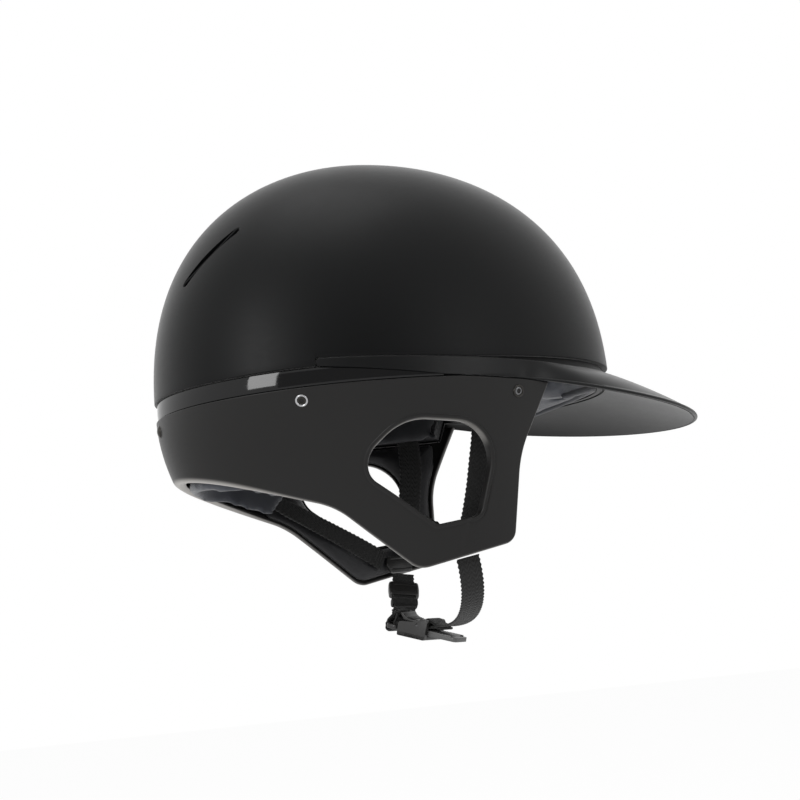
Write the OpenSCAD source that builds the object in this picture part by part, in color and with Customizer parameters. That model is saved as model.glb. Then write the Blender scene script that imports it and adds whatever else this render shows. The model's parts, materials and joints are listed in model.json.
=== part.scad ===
/* [Shell] */
// Length of the shell ahead of its widest place
front_l = 151; // [144:1:158]
// Length of the shell behind its widest place
rear_l = 129; // [123:1:135]
// Width of the shell at its rim
shell_w = 216; // [208:1:224]
// Height of the crown above the rim
crown_h = 147; // [138:1:156]
// Wall of the outer shell
shell_wall = 3; // [2.4:0.1:4]
// Thickness of the shell's mounting flange
flange_t = 4.2; // [3.6:0.1:5]
// How far the flange hangs below the rim, behind the guard
flange_drop = 13; // [12:0.5:15]

/* [Band] */
// Height of the glossy band
band_h = 10.5; // [9:0.5:12]
// Thickness of the band
band_t = 1.6; // [1.2:0.1:2]
// How far the band lies back from the shell's face
band_inset = 1.6; // [1.2:0.1:2]

/* [Brim] */
// Reach of the brim ahead of the rim's centre
brim_reach = 208; // [195:1:220]
// Half width of the brim's outline
brim_half_w = 95; // [90:1:100]
// Thickness of the brim's edge
brim_edge = 2; // [1.6:0.1:3]
// Thickness of the brim's side arms
arm_t = 1.4; // [1.2:0.1:1.6]
// Length of each side arm behind the rim's centre
arm_back = 56; // [45:1:65]

/* [Guard] */
// Wall of the guard
guard_t = 3.4; // [2.6:0.1:4]
// Depth of the ear guards below the rim
guard_depth = 104; // [98:1:112]
// Thickness of the lining inside the guard
lining_t = 4.6; // [3:0.1:5.5]
// Width of the lining's margin inside the guard's edge
lining_margin = 3; // [2.5:0.5:6]

/* [Liner and pads] */
// Thickness of the foam liner
liner_t = 21; // [18:0.5:23]
// Height where the liner's ring ends and its crown piece begins
liner_split = 46; // [40:1:56]
// Thickness of the front pad
front_pad_t = 10; // [7:0.5:12]
// Thickness of the side pads
side_pad_t = 5; // [4:0.5:8]
// Thickness of the nape pad
nape_pad_t = 9; // [6:0.5:11]
// Thickness of the crown pad
crown_pad_t = 8; // [6:0.5:11]

/* [Vents] */
// Length of a vent slot
slot_l = 47; // [38:1:52]
// Width of a vent slot
slot_w = 3; // [2.4:0.1:4]

/* [Fasteners] */
// Radius of the screw thread
thread_r = 2; // [1.5:0.1:2.2]
// Radius of the screw heads
head_r = 3.7; // [3.4:0.1:4.2]
// Radius of the brass inserts
insert_r = 3; // [2.7:0.1:3.2]

/* [Straps] */
// Width of the webbing
web_w = 14; // [12:0.5:16]
// Thickness of one layer of webbing
web_t = 1.5; // [1.2:0.1:1.8]
// Height of the buckle's centre below the rim
buckle_drop = 135.4; // [130:0.5:142]

/* [Buckle] */
// Length of the buckle's housing
housing_l = 20; // [18:0.5:22]
// Width of the buckle's channel
channel_w = 15; // [14.6:0.2:17]
// Thickness of the tongue
tongue_t = 2.6; // [2:0.1:2.8]
// Length of the tongue's tail past the housing's middle
tail_l = 30.5; // [28:0.5:32]
// Radius of the lever's pin
pin_r = 1; // [0.8:0.1:1.1]

/* [Hidden] */
$fn = 40;

// Form of the crown: how fast it leaves the rim, and how square its sections are
dome_p = 0.817;
dome_q = 0.94;
// Form of the guard: how its plan shortens and narrows with depth
front_draw = 0.296;
rear_draw = 0.00483;
tuck_rear = 0.00738;
tuck_front = 0.00226;
tuck_x0 = -111;
tuck_x1 = 60;

half_w = shell_w / 2;
gap = 0.2;
rebate = band_inset + band_t + gap;
flange_in = rebate + flange_t;
guard_out = 0.4;
guard_in = guard_out + guard_t;
flange_out_low = guard_in + 0.4;
liner_out_low = flange_in + 0.6;
liner_out = shell_wall + 0.5;
liner_in = liner_out + liner_t;
liner_drop = flange_drop - 1;
liner_front_low = 4;
lining_out = guard_in + 0.3;
lining_in = lining_out + lining_t;
patch_t = 0.4;
pad_out = liner_in + 2 * 0.35 + patch_t;
apex = 0.01;

function ease(t) = let (c = min(1, max(0, t))) c * c * (3 - 2 * c);
function mix(a, b, f) = a + (b - a) * f;
function unit(v) = v / norm(v);

// A point of the crown at plan angle a and latitude k, d inside the shell's face
function crown_point(a, k, d) = [
    ((cos(a) > 0 ? front_l : rear_l) - d) * cos(a) * pow(cos(k), dome_q),
    (half_w - d) * sin(a) * pow(cos(k), dome_q),
    (crown_h - d) * pow(sin(k), dome_p)];
function latitude(z, d) = asin(pow(max(0, min(1, z / (crown_h - d))), 1 / dome_p));

// Half length of the plan at depth u below the rim, and how far it narrows at x
function skirt_reach(a, u) = cos(a) > 0 ? front_l - front_draw * u : rear_l - rear_draw * u * u;
function tuck(x) = mix(tuck_rear, tuck_front, ease((x - tuck_x0) / (tuck_x1 - tuck_x0)));

// The helmet's face at plan angle a and height z, moved d inwards
function face(a, z, d) = z >= 0 ? crown_point(a, latitude(z, d), d) :
    let (x = (skirt_reach(a, -z) - d) * cos(a))
    [x, (half_w * (1 + z * tuck(x)) - d) * sin(a), z];

// The same face found by its x and z: side 1 is the left side, -1 the right
function angle_at(x, z, d) = let (
    r = z >= 0 ? ((x > 0 ? front_l : rear_l) - d) * pow(cos(latitude(z, d)), dome_q) :
        skirt_reach(x > 0 ? 0 : 180, -z) - d)
    acos(max(-1, min(1, x / r)));
function at(x, z, d, side) = let (p = face(angle_at(x, z, d), z, d)) [p[0], side * p[1], p[2]];
function out_at(x, z, side) = let (e = 0.5)
    -side * unit(cross(at(x + e, z, 0, side) - at(x - e, z, 0, side),
        at(x, z + e, 0, side) - at(x, z - e, 0, side)));

// Heights of the brim's seam and lower edge along its side arms
function arm_top(x) = max(6.3, 12 - 0.055 * x);
function arm_low(x) = max(3 - 0.1346 * x, 1.87 - 0.061 * x);

// Plan angle where the side arms end, and where the band ends beside them
arm_a = angle_at(-arm_back, band_h, 0);
band_end_x = 14;
full_seat_x = 18;

// Columns of the surface meshes: even steps, with a close pair at each arm's end
step_a = 5;
function columns() = [for (a = [0:step_a:359])
    let (m = min(a, 360 - a), near = abs(m - arm_a) < step_a / 2, side = a > 180 ? -1 : 1)
    each near ? (side > 0 ? [arm_a - 0.5, arm_a + 0.5] : [360 - arm_a - 0.5, 360 - arm_a + 0.5])
        : [a]];

// A closed skin made of rings, with a point at each end
module rings_solid(rings, first, last) {
    n = len(rings);
    m = len(rings[0]);
    points = concat([first], [for (r = rings) each r], [last]);
    sides = [for (i = [0:n - 2], j = [0:m - 1])
        let (k = (j + 1) % m, a = 1 + i * m + j, b = 1 + i * m + k, c = a + m, d = b + m)
        each [[a, d, b], [a, c, d]]];
    start = [for (j = [0:m - 1]) [0, 1 + j, 1 + (j + 1) % m]];
    end = [for (j = [0:m - 1]) let (o = 1 + (n - 1) * m) [n * m + 1, o + (j + 1) % m, o + j]];
    polyhedron(points, concat(start, sides, end), convexity = 6);
}

// A solid through equal loops; each loop goes out along one face and back along the other
module loft(loops) {
    n = len(loops);
    m = len(loops[0]);
    h = m / 2;
    o = (n - 1) * m;
    sides = [for (i = [0:n - 2], j = [0:m - 1])
        let (a = i * m + j, b = i * m + (j + 1) % m, c = a + m, d = b + m)
        each [[a, b, d], [a, d, c]]];
    caps = [for (j = [0:h - 2]) let (k = m - 1 - j)
        each [[j, k, k - 1], [j, k - 1, j + 1],
            [o + k - 1, o + k, o + j], [o + j + 1, o + k - 1, o + j]]];
    polyhedron([for (l = loops) each l], concat(sides, caps), convexity = 6);
}

// Puts a piece on a place with its own Z along a direction
module seat(place, direction) {
    d = unit(direction);
    translate(place) rotate([0, acos(d[2]), atan2(d[1], d[0])]) children();
}

// A closed outline whose corners are arcs: each point is [x, z, radius]
function rounded(points, n = 7) = [for (i = [0:len(points) - 1])
    let (count = len(points), p = points[i],
        a = points[(i + count - 1) % count], b = points[(i + 1) % count],
        u = unit([a[0] - p[0], a[1] - p[1]]), v = unit([b[0] - p[0], b[1] - p[1]]),
        turn = acos(u * v) / 2, bis = unit(u + v), c = [p[0], p[1]] + bis * p[2] / sin(turn),
        sweep = 90 - turn, mid = atan2(-bis[1], -bis[0]),
        way = cross([u[0], u[1]], [v[0], v[1]]) > 0 ? -1 : 1)
    each p[2] == 0 ? [[p[0], p[1]]] :
        [for (j = [0:n]) let (g = mid - way * sweep + way * 2 * sweep * j / n)
            c + p[2] * [cos(g), sin(g)]]];

// Side view of the guard and of its ear openings
tip_x = 1.5;
guard_rear = [-150, -29.8, 0];
guard_knee = [-44, -64.5, 50];
guard_outline = rounded([[-150, -gap, 0], [24, -gap, 0], [83.4, -3.8, 0], [62.6, -43, 60],
    [57.7, 11.4 - guard_depth, 8], [tip_x, -guard_depth, 12], guard_knee, guard_rear]);
ear_corners = [[-31.5, -44, 6], [-9, -20.8, 30], [48, -27.2, 23], [35.4, -77, 6], [10.5, -80, 2.5]];
ear_outline = rounded(ear_corners);

// What lies behind the side view, as deep as the guard is wide
module side_view() {
    rotate([90, 0, 0]) linear_extrude(shell_w + 20, center = true) children();
}

// A skin between two depths of the face, from angle a0 to a1 and between two heights
module skin(a0, a1, z0, z1, outer, inner, rows, step) {
    n = ceil((a1 - a0) / step);
    loft([for (i = [0:n]) let (a = mix(a0, a1, i / n)) concat(
        [for (j = [0:rows]) face(a, mix(z0, z1, j / rows), outer)],
        [for (j = [rows:-1:0]) face(a, mix(z0, z1, j / rows), inner)])]);
}

// Vent slots, seen along the face's direction at their middle
slot_mid_x = -99;
slot_mid_z = 88;
slot_tilt = 47;
slot_deep = 60;
module at_slots() {
    for (side = [-1, 1]) {
        p = at(slot_mid_x, slot_mid_z, 0, side);
        seat(p, out_at(slot_mid_x, slot_mid_z, side)) rotate([0, 0, side * slot_tilt]) children();
    }
}
module slot_form(l, w, h) {
    cube([l - w, w, h], center = true);
    for (e = [-1, 1]) translate([e * (l - w) / 2, 0, 0]) cylinder(r = w / 2, h = h, center = true);
}

// Screw places: side rear, side front and nape
rear_screw = [-64.2, -7.1];
front_screw = [61.1, -9.4];
nape_screw_z = -7.2;
module at_side_screws(place, d) {
    for (side = [-1, 1])
        seat(at(place[0], place[1], 0, side), out_at(place[0], place[1], side))
            translate([0, 0, -d]) children();
}
module at_nape(d) {
    seat(face(180, nape_screw_z, 0), [-1, 0, 0]) translate([0, 0, -d]) children();
}
module at_all_screws(d) {
    at_side_screws(rear_screw, d) children();
    at_side_screws(front_screw, d) children();
    at_nape(d) children();
}

// Strap places: where each strap is fixed in its channel of the liner, and its divider
front_anchor = [46, 4];
rear_anchor = [-82, 4];
rear_lean = 19;
strap_d = liner_in - 2;
channel_d = liner_in - 3.8;
divider_x = 30;
divider_z = -91.5;
divider_h = 11;
divider_t = 3.4;
divider_d = lining_in + 1 + divider_t / 2;
function divider_place(side) = at(divider_x, divider_z, divider_d, side);

module outer_shell() {
    cols = columns();
    low = [for (a = cols) face(a, -1, 0)[0] > 78 ? -1 : -flange_drop];
    x = [for (a = cols) face(a, band_h, 0)[0]];
    arm = [for (v = x) v > -arm_back];
    full = [for (v = x) v > full_seat_x];
    seat_z = [for (v = x) v > full_seat_x ? arm_top(v) - 0.8 : band_h];
    step_d = [for (i = [0:len(cols) - 1]) full[i] ? rebate : arm[i] ? arm_t + 0.1 : 0];
    ledge = [for (i = [0:len(cols) - 1]) arm[i] ? max(arm_top(x[i]), band_h + 0.3) : band_h + 0.3];
    function ring(z, d) = [for (i = [0:len(cols) - 1]) face(cols[i], z[i], d[i])];
    function same(v) = [for (c = cols) v];
    function crown_rows(d, z0, rows) = [for (j = [1:rows]) [for (i = [0:len(cols) - 1])
        crown_point(cols[i], mix(latitude(z0[i], d), 90, j / (rows + 0.6)), d)]];
    outside = concat([ring(low, same(flange_out_low)), ring(same(-0.1), same(flange_out_low)),
        ring(same(0.1), same(rebate)), ring(seat_z, same(rebate)), ring(seat_z + same(0.1), step_d),
        ring(ledge + same(0.15), step_d), ring(ledge + same(0.3), same(0))],
        crown_rows(0, ledge, 13));
    inside = concat([ring(low, same(flange_in)), ring(same(0.1), same(flange_in)),
        ring(ledge + same(1), same(flange_in)), ring(ledge + same(5), same(shell_wall))],
        crown_rows(shell_wall, ledge + same(5), 11));
    color([0.11, 0.11, 0.115]) difference() {
        rings_solid(concat([for (i = [len(inside) - 1:-1:0]) inside[i]], outside),
            [0, 0, crown_h - shell_wall], [0, 0, crown_h]);
        at_slots() slot_form(slot_l, slot_w, 20);
        at_all_screws(flange_in) cylinder(r = insert_r + 0.02, h = 14, center = true);
    }
}

module trim_band() {
    a0 = angle_at(band_end_x, 0, rebate);
    n = 50;
    color([0.02, 0.02, 0.022]) loft([for (i = [0:n]) let (a = mix(a0, 360 - a0, i / n))
        [face(a, 0.2, band_inset), face(a, band_h - 0.1, band_inset),
            face(a, band_h - 0.1, band_inset + band_t), face(a, 0.2, band_inset + band_t)]]);
}

// The brim: a plate ahead of the shell that runs back along both sides as thin arms
brim_x0 = 76.8;
brim_flare_a = 59.5;
brim_slope = 0.168;
brim_droop = 2.7;
function brim_edge_point(a) = let (
    m = abs(a), t = m / brim_flare_a * 90, s = a < 0 ? -1 : 1,
    x = brim_x0 + (brim_reach - brim_x0) * cos(t), y = brim_half_w * sin(t),
    free = [x, y, -0.3 - brim_slope * (x - brim_x0) - brim_droop * pow(y / 100, 2)],
    px = face(m, 4, 0)[0], on = face(m, arm_low(px), -0.2), f = ease((m - 50) / 20))
    let (p = mix(free, on, f)) [p[0], s * p[1], p[2]];
function brim_loop(a) = let (
    m = abs(a), px = face(m, 8, 0)[0], top = arm_top(px), low = arm_low(px),
    out = 1 - ease((m - 52) / 18),
    seat_d = px > full_seat_x + 8 ? rebate - 2 * gap : arm_t - 0.1,
    lift = brim_edge / 2 * out, edge = brim_edge_point(a),
    t0 = face(a, top, 0), e0 = edge + [0, 0, lift],
    e1 = mix(face(a, low, seat_d), edge - [0.6 * cos(a), 0.6 * sin(a), lift], out),
    root = mix(face(a, mix(low, top, 0.35), seat_d), face(a, 0, rebate - 2 * gap) - [0, 0, 1.4], out),
    g = face(a, top - 0.1, seat_d))
    [t0, mix(t0, e0, 0.33) + [0, 0, 1.2 * out], mix(t0, e0, 0.67) + [0, 0, 1.2 * out], e0,
        e1, mix(e1, root, 0.5), root, g];
module brim() {
    end_a = arm_a - 1;
    n = 46;
    color([0.12, 0.12, 0.125]) loft([for (i = [0:n]) brim_loop(mix(end_a, -end_a, i / n))]);
}

module lower_guard() {
    color([0.13, 0.13, 0.135]) difference() {
        intersection() {
            skin(54, 306, -guard_depth - 2, 0, guard_out, guard_in, 13, 5);
            side_view() polygon(guard_outline);
        }
        side_view() polygon(ear_outline);
        at_all_screws(guard_in) cylinder(r = thread_r + 0.3, h = 12, center = true);
        at_all_screws(guard_out) translate([0, 0, -1.2]) cylinder(r = head_r + 0.25, h = 4);
    }
}

module vent_grilles() {
    frame_w = slot_w + 3;
    color([0.05, 0.05, 0.05]) at_slots() translate([0, 0, -shell_wall - 3.3]) difference() {
        slot_form(slot_l - 6, frame_w, 1.2);
        for (i = [-3:3]) translate([i * 5, 0, 0]) cube([3.6, slot_w - 0.4, 4], center = true);
    }
}

// Channels in the liner's inner face, from above each strap's end down through its bottom
module strap_channels() {
    for (side = [-1, 1], p = [[front_anchor, 0], [rear_anchor, rear_lean]])
        seat(at(p[0][0], p[0][1], channel_d, side), out_at(p[0][0], p[0][1], side))
            rotate([0, 0, -side * p[1]]) translate([9, 0, -6])
                cube([40, web_w + 5, 12], center = true);
}

// The whole liner, before it is parted into a ring and a crown piece
module foam_form() {
    cols = [for (a = [0:step_a:359]) a];
    x = [for (a = cols) face(a, band_h, 0)[0]];
    low = [for (v = x) v > 78 ? liner_front_low : -liner_drop];
    ledge = [for (v = x) v > -arm_back ? max(arm_top(v), band_h + 0.3) : band_h + 0.3];
    function ring(z, d) = [for (i = [0:len(cols) - 1]) face(cols[i], z[i], d)];
    function same(v) = [for (c = cols) v];
    function crown_rows(d, z0, rows) = [for (j = [1:rows]) [for (i = [0:len(cols) - 1])
        crown_point(cols[i], mix(latitude(z0[i], d), 90, j / (rows + 0.6)), d)]];
    function above(z) = [for (v = low) max(z, v + 0.1)];
    outside = concat([ring(low, liner_out_low), ring(above(0.1), liner_out_low),
        ring(ledge + same(0.8), liner_out_low), ring(ledge + same(5), liner_out)],
        crown_rows(liner_out, ledge + same(5), 11));
    inside = concat([ring(low, liner_in), for (z = [0.1, 8, 16, 24]) ring(above(z), liner_in)],
        crown_rows(liner_in, same(24), 9));
    difference() {
        rings_solid(concat([for (i = [len(inside) - 1:-1:0]) inside[i]], outside),
            [0, 0, crown_h - liner_in], [0, 0, crown_h - liner_out]);
        at_slots() slot_form(slot_l - 5, slot_w + 4, slot_deep);
        at_all_screws(flange_in) cylinder(r = insert_r + 0.6, h = 16, center = true);
        strap_channels();
    }
}
// Everything between two heights, wider than the helmet
module layer(z0, z1) {
    w = 2 * front_l + 100;
    translate([-w / 2, -w / 2, z0]) cube([w, w, z1 - z0]);
}
module foam_liner() {
    color([0.16, 0.16, 0.17]) intersection() {
        foam_form();
        layer(-liner_drop - 20, liner_split - gap / 2);
    }
}
module foam_crown() {
    color([0.16, 0.16, 0.17]) intersection() {
        foam_form();
        layer(liner_split + gap / 2, crown_h + 10);
    }
}

module guard_lining(side) {
    lining_color = [0.10, 0.10, 0.11];
    color(lining_color) difference() {
        intersection() {
            if (side > 0) {
                skin(58, 121, -guard_depth, -flange_drop - 1, lining_out, lining_in, 9, 6);
            } else {
                skin(239, 302, -guard_depth, -flange_drop - 1, lining_out, lining_in, 9, 6);
            }
            side_view() offset(delta = -lining_margin) polygon(guard_outline);
        }
        side_view() offset(delta = lining_margin - 1) polygon(ear_outline);
    }
}

// A crowned pad on a stretch of the face: full in the middle, drawn in at its edges and seams
module pad(a0, a1, z0, z1, outer, t, seams, cols, rows) {
    function crown(f) = pow(max(0, 1 - pow(abs(2 * f - 1), 4)), 0.5);
    function seam(f) = seams < 2 ? 1 : 0.72 + 0.28 * pow(abs(sin(180 * seams * f)), 0.5);
    function draw(f) = 0.06 * (1 - crown(f));
    edge = 0.22;
    function high(u, v) = mix(z0, z1, mix(draw(u), 1 - draw(u), v));
    function deep(u, v) = outer + t * mix(edge, 1, crown(u) * crown(v) * seam(u));
    loft([for (i = [0:cols]) let (u = i / cols, a = mix(a0, a1, u)) concat(
        [for (j = [0:rows]) face(a, high(u, j / rows), outer)],
        [for (j = [rows:-1:0]) face(a, high(u, j / rows), deep(u, j / rows))])]);
}

module front_pad() {
    reach_a = 50;
    top = liner_front_low - 0.6;
    function foot(a) = liner_front_low - 4.2 - 0.0057 * a * a;
    edge_t = 0.3 * front_pad_t;
    color([0.16, 0.17, 0.21]) loft([for (i = [0:36]) let (
        u = i / 36, a = mix(-reach_a, reach_a, u),
        c = pow(max(0, 1 - pow(abs(2 * u - 1), 6)), 0.5),
        s = 0.8 + 0.2 * pow(abs(sin(180 * 5 * u)), 0.5),
        t = front_pad_t * c * s, i0 = pad_out)
        [face(a, top, liner_out_low + 1), face(a, top, i0), face(a, 8, i0),
            face(a, 16, i0), face(a, 24, i0), face(a, 25, i0 + 0.25 * front_pad_t),
            face(a, 20, i0 + edge_t + 0.65 * t), face(a, 8, i0 + edge_t + 0.7 * t),
            face(a, mix(foot(a), 8, 0.35), i0 + edge_t + 0.65 * t),
            face(a, foot(a) + 1.2, i0 + 0.2 * front_pad_t + 0.3 * t),
            face(a, foot(a), mix(liner_out_low, i0, 0.5)),
            face(a, foot(a) + 0.4, liner_out_low + 1.6)]]);
}
module side_pad(side) {
    z0 = -liner_drop - 4.5;
    color([0.16, 0.17, 0.21]) if (side > 0) {
        pad(58, 118, z0, 24, pad_out, side_pad_t, 3, 22, 6);
    } else {
        pad(242, 302, z0, 24, pad_out, side_pad_t, 3, 22, 6);
    }
}
// The nape pad wraps round inside the guard down to near its rim, and its ends lap over the straps
module nape_pad() {
    half_a = 57;
    fall = (guard_knee[1] - guard_rear[1]) / (guard_knee[0] - guard_rear[0]);
    function rim(a) = guard_rear[1] + fall * (face(a, -50, lining_in)[0] - guard_rear[0]);
    function lean(z, low, w) = 11 * ease((z - low) / 14) * (1 - ease((z + 33) / 11))
        * ease((w - 0.4) / 0.5);
    color([0.16, 0.17, 0.21]) loft([for (i = [0:40]) let (
        u = i / 40, w = abs(2 * u - 1), side = u < 0.5 ? -1 : 1,
        c = pow(max(0, 1 - pow(w, 8)), 0.5), e = ease((w - 0.42) / 0.26),
        s = 0.8 + 0.2 * pow(abs(sin(180 * 6 * u)), 0.5),
        t = nape_pad_t * mix(0.5, 1, c * s) * mix(1, 0.64, e),
        a = 180 + mix(-half_a, half_a, u), low = mix(-48, rim(a) + 1.8, c),
        mid = mix(low, -13, 0.3), back = mix(lining_in - 2, lining_in + 7.4, e) + 2.6 * (1 - c),
        knee = mix(13, 19.3, e))
        [for (p = [[low, back], [mid, knee], [-22, mix(20, 24, e)], [-liner_drop - 0.4, pad_out],
            [4, pad_out], [16, pad_out], [17, pad_out + 0.4 * t], [8, pad_out + t],
            [-8, pad_out + t], [-22, mix(20, 24, e) + t], [mid, knee + 0.95 * t],
            [low + 1.5, back + 0.6 * t]])
            face(a + side * lean(p[0], low, w), p[0], p[1])]]);
}
module crown_pad() {
    edge_k = 66;
    n = 48;
    function lobes(a) = 4 * pow(abs(sin(2 * a)), 0.7);
    function ring(k0, d) = [for (i = [0:n - 1])
        let (a = 360 * i / n, k = min(89, k0 + (90 - k0) * lobes(a) / 14)) crown_point(a, k, d)];
    rows = [85, 80, 74, 69, edge_k];
    below = [for (i = [0:4]) ring(rows[i], pad_out + crown_pad_t * (1 - 0.12 * pow(max(0, i), 1.1)))];
    above = [for (i = [4:-1:0]) ring(rows[i] - (i == 4 ? 1 : 0), pad_out)];
    color([0.16, 0.17, 0.21]) rings_solid(concat(below, above),
        [0, 0, crown_h - pad_out - crown_pad_t], [0, 0, crown_h - pad_out]);
}

// Hook patches between the pads and the liner, curved like the liner's face
module pad_hook_patches() {
    patch_a = 6;
    color([0.03, 0.03, 0.03]) for (a = [-28, 28, 90, 165, 195, 270])
        skin(a - patch_a, a + patch_a, 5.5, 18, liner_in + 0.35, liner_in + 0.35 + patch_t, 2, 5);
}

// A strap of webbing through centres, each with the direction that its width lies along
module webbing(centres, across, layers) {
    n = len(centres) - 1;
    loft([for (i = [0:n]) let (
        way = unit(centres[min(n, i + 1)] - centres[max(0, i - 1)]),
        w = unit(across[i] - way * (across[i] * way)), t = cross(way, w),
        a = w * web_w / 2, b = t * web_t * layers / 2)
        [centres[i] - a + b, centres[i] + a + b, centres[i] + a - b, centres[i] - a - b]]);
}
// A strap that lies inside the guard, through points of the side view
module guard_strap(points, side) {
    n = len(points) - 1;
    centres = [for (p = points) at(p[0], p[1], p[2], side)];
    across = [for (i = [0:n]) cross(out_at(points[i][0], points[i][1], side),
        centres[min(n, i + 1)] - centres[max(0, i - 1)])];
    webbing(centres, across, 1);
}
divider_top = divider_z + divider_h / 2 + 1.9;
front_strap_points = [[front_anchor[0], front_anchor[1] + 6, strap_d],
    [front_anchor[0], 0, strap_d], [front_anchor[0], -9, strap_d], [44.7, -30, strap_d],
    [42.2, -45, 20.8], [39.5, -60, 18.6], [36, -74, 15.8], [divider_x + 2, divider_top, divider_d]];
rear_strap_points = [[rear_anchor[0] - 2.4, rear_anchor[1] + 6, strap_d],
    [rear_anchor[0] + 1.6, 0, strap_d], [rear_anchor[0] + 5.2, -9, strap_d], [-71, -25, 20],
    [-60, -39, 17], [-46, -50.5, 15.4], [-30, -59.5, 14.2], [-12, -69.5, 12.9], [4, -79, 12],
    [divider_x - web_w / 2 - 4, divider_z + 2.5, divider_d]];

module front_strap(side) {
    color([0.07, 0.07, 0.075]) guard_strap(front_strap_points, side);
}
module rear_strap(side) {
    color([0.07, 0.07, 0.075]) guard_strap(rear_strap_points, side);
}

module strap_rivets() {
    rivet_r = 2.4;
    color([0.45, 0.45, 0.46]) for (side = [-1, 1], place = [front_anchor, rear_anchor])
        seat(at(place[0], place[1], strap_d, side), out_at(place[0], place[1], side))
            translate([0, 0, -web_t / 2 - 0.5 - 0.8]) cylinder(r = rivet_r + 1.2, h = 0.8);
}

module strap_divider(side) {
    half = web_w / 2;
    h = divider_h / 2;
    r = 1.6;
    corners = [[half + 0.6, h], [half, -h], [-half, -h], [-half - 2.6, 0], [-half - 0.6, h]];
    color([0.08, 0.08, 0.08]) seat(divider_place(side), out_at(divider_x, divider_z, side))
        rotate([0, 0, 90]) linear_extrude(divider_t, center = true)
            polygon(rounded([for (q = corners) [-side * q[0], q[1], r]], 3));
}

// The buckle's own frame: X along the tongue towards its tail, Y along the webbing's width
buckle_yaw = -51;
buckle_tilt = 16.3;
buckle_place = [26, 25.7, -buckle_drop];
tongue_way = [cos(buckle_tilt) * cos(buckle_yaw), cos(buckle_tilt) * sin(buckle_yaw),
    -sin(buckle_tilt)];
pin_way = [-sin(buckle_yaw), cos(buckle_yaw), 0];
buckle_up = cross(tongue_way, pin_way);
module in_buckle() {
    translate(buckle_place) rotate([0, buckle_tilt, buckle_yaw]) children();
}
function buckle_point(p) = buckle_place + tongue_way * p[0] + pin_way * p[1] + buckle_up * p[2];

wall = 2.6;
floor_t = 2.5;
half_channel = channel_w / 2;
tongue_low = -1.4;
tooth_h = 1;
tooth_pitch = 2.2;
tongue_top = tongue_low + tongue_t + tooth_h;
pin_x = 3.5;
pin_z = tongue_top + 2.2;
bar_x = housing_l / 2 - 1.5;
bar_r = 1.6;
bar_z = tongue_top + 0.6 + web_t + bar_r;
hub_r = pin_r + 1.1;
spring_x = pin_x + 1.9;
tab_x = pin_x + 3;
frame_x = -15.6;
frame_l = 8.4;
frame_t = 3.2;
frame_bar = 2.3;
tongue_clear = 0.35;
tail_r = 2.4;

module buckle_tongue() {
    blade_half = half_channel - tongue_clear;
    blade_x = frame_x + frame_l / 2 - 0.5;
    frame_half = web_w / 2 + frame_bar;
    top = tongue_low + tongue_t;
    first = -4 * tooth_pitch;
    teeth = floor((tail_l - 4 - first) / tooth_pitch);
    color([0.06, 0.06, 0.065]) in_buckle() {
        translate([blade_x, -blade_half, tongue_low])
            linear_extrude(tongue_t) polygon(rounded([[0, 0, 0], [tail_l - blade_x, 0, tail_r],
                [tail_l - blade_x, 2 * blade_half, tail_r], [0, 2 * blade_half, 0]]));
        rotate([90, 0, 0]) linear_extrude(2 * blade_half - 2, center = true)
            polygon([[first, top - 0.2], for (i = [0:teeth - 1]) let (x = first + i * tooth_pitch)
                each [[x, top], [x + 0.4, top + tooth_h]],
                [first + teeth * tooth_pitch, top], [first + teeth * tooth_pitch, top - 0.2]]);
        translate([frame_x, 0, tongue_low + frame_t / 2 - 0.2]) difference() {
            linear_extrude(frame_t, center = true)
                polygon(rounded([for (c = [[-1, -1], [1, -1], [1, 1], [-1, 1]])
                    [c[0] * frame_l / 2, c[1] * frame_half, 2.5]]));
            translate([0.5, 0, 0]) cube([frame_l - 2 * frame_bar, web_w + 1.6, 10], center = true);
        }
    }
}

module buckle_housing() {
    hl = housing_l / 2;
    outer_half = half_channel + wall;
    low = tongue_low - 0.3 - floor_t;
    wall_top = pin_z + 1.6;
    ear_top = bar_z + bar_r + 1;
    color([0.06, 0.06, 0.065]) in_buckle() difference() {
        union() {
            translate([-hl, -outer_half, low]) cube([housing_l, 2 * outer_half, floor_t]);
            for (side = [-1, 1]) rotate([90, 0, 0])
                translate([0, 0, side * (half_channel + wall / 2)])
                    linear_extrude(wall, center = true)
                        polygon(rounded([[-hl, low, 0.6], [hl, low, 0.6], [hl + 1.2, ear_top, 1.8],
                            [bar_x - bar_r - 1.2, ear_top, 1.8],
                            [bar_x - bar_r - 2.6, wall_top, 2], [-hl, wall_top - 1.6, 2]]));
            translate([bar_x, 0, bar_z]) rotate([90, 0, 0])
                cylinder(r = bar_r, h = 2 * outer_half - 0.4, center = true);
            translate([-hl, -half_channel - 0.5, tongue_top + 0.5]) cube([2.2, channel_w + 1, 1.4]);
        }
        translate([pin_x, 0, pin_z]) rotate([90, 0, 0]) cylinder(r = pin_r, h = 40, center = true);
        translate([spring_x - 0.2, -half_channel - 0.7, spring_low - 0.15])
            cube([spring_w + 0.4, channel_w + 1.4, 0.6]);
    }
}

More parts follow.
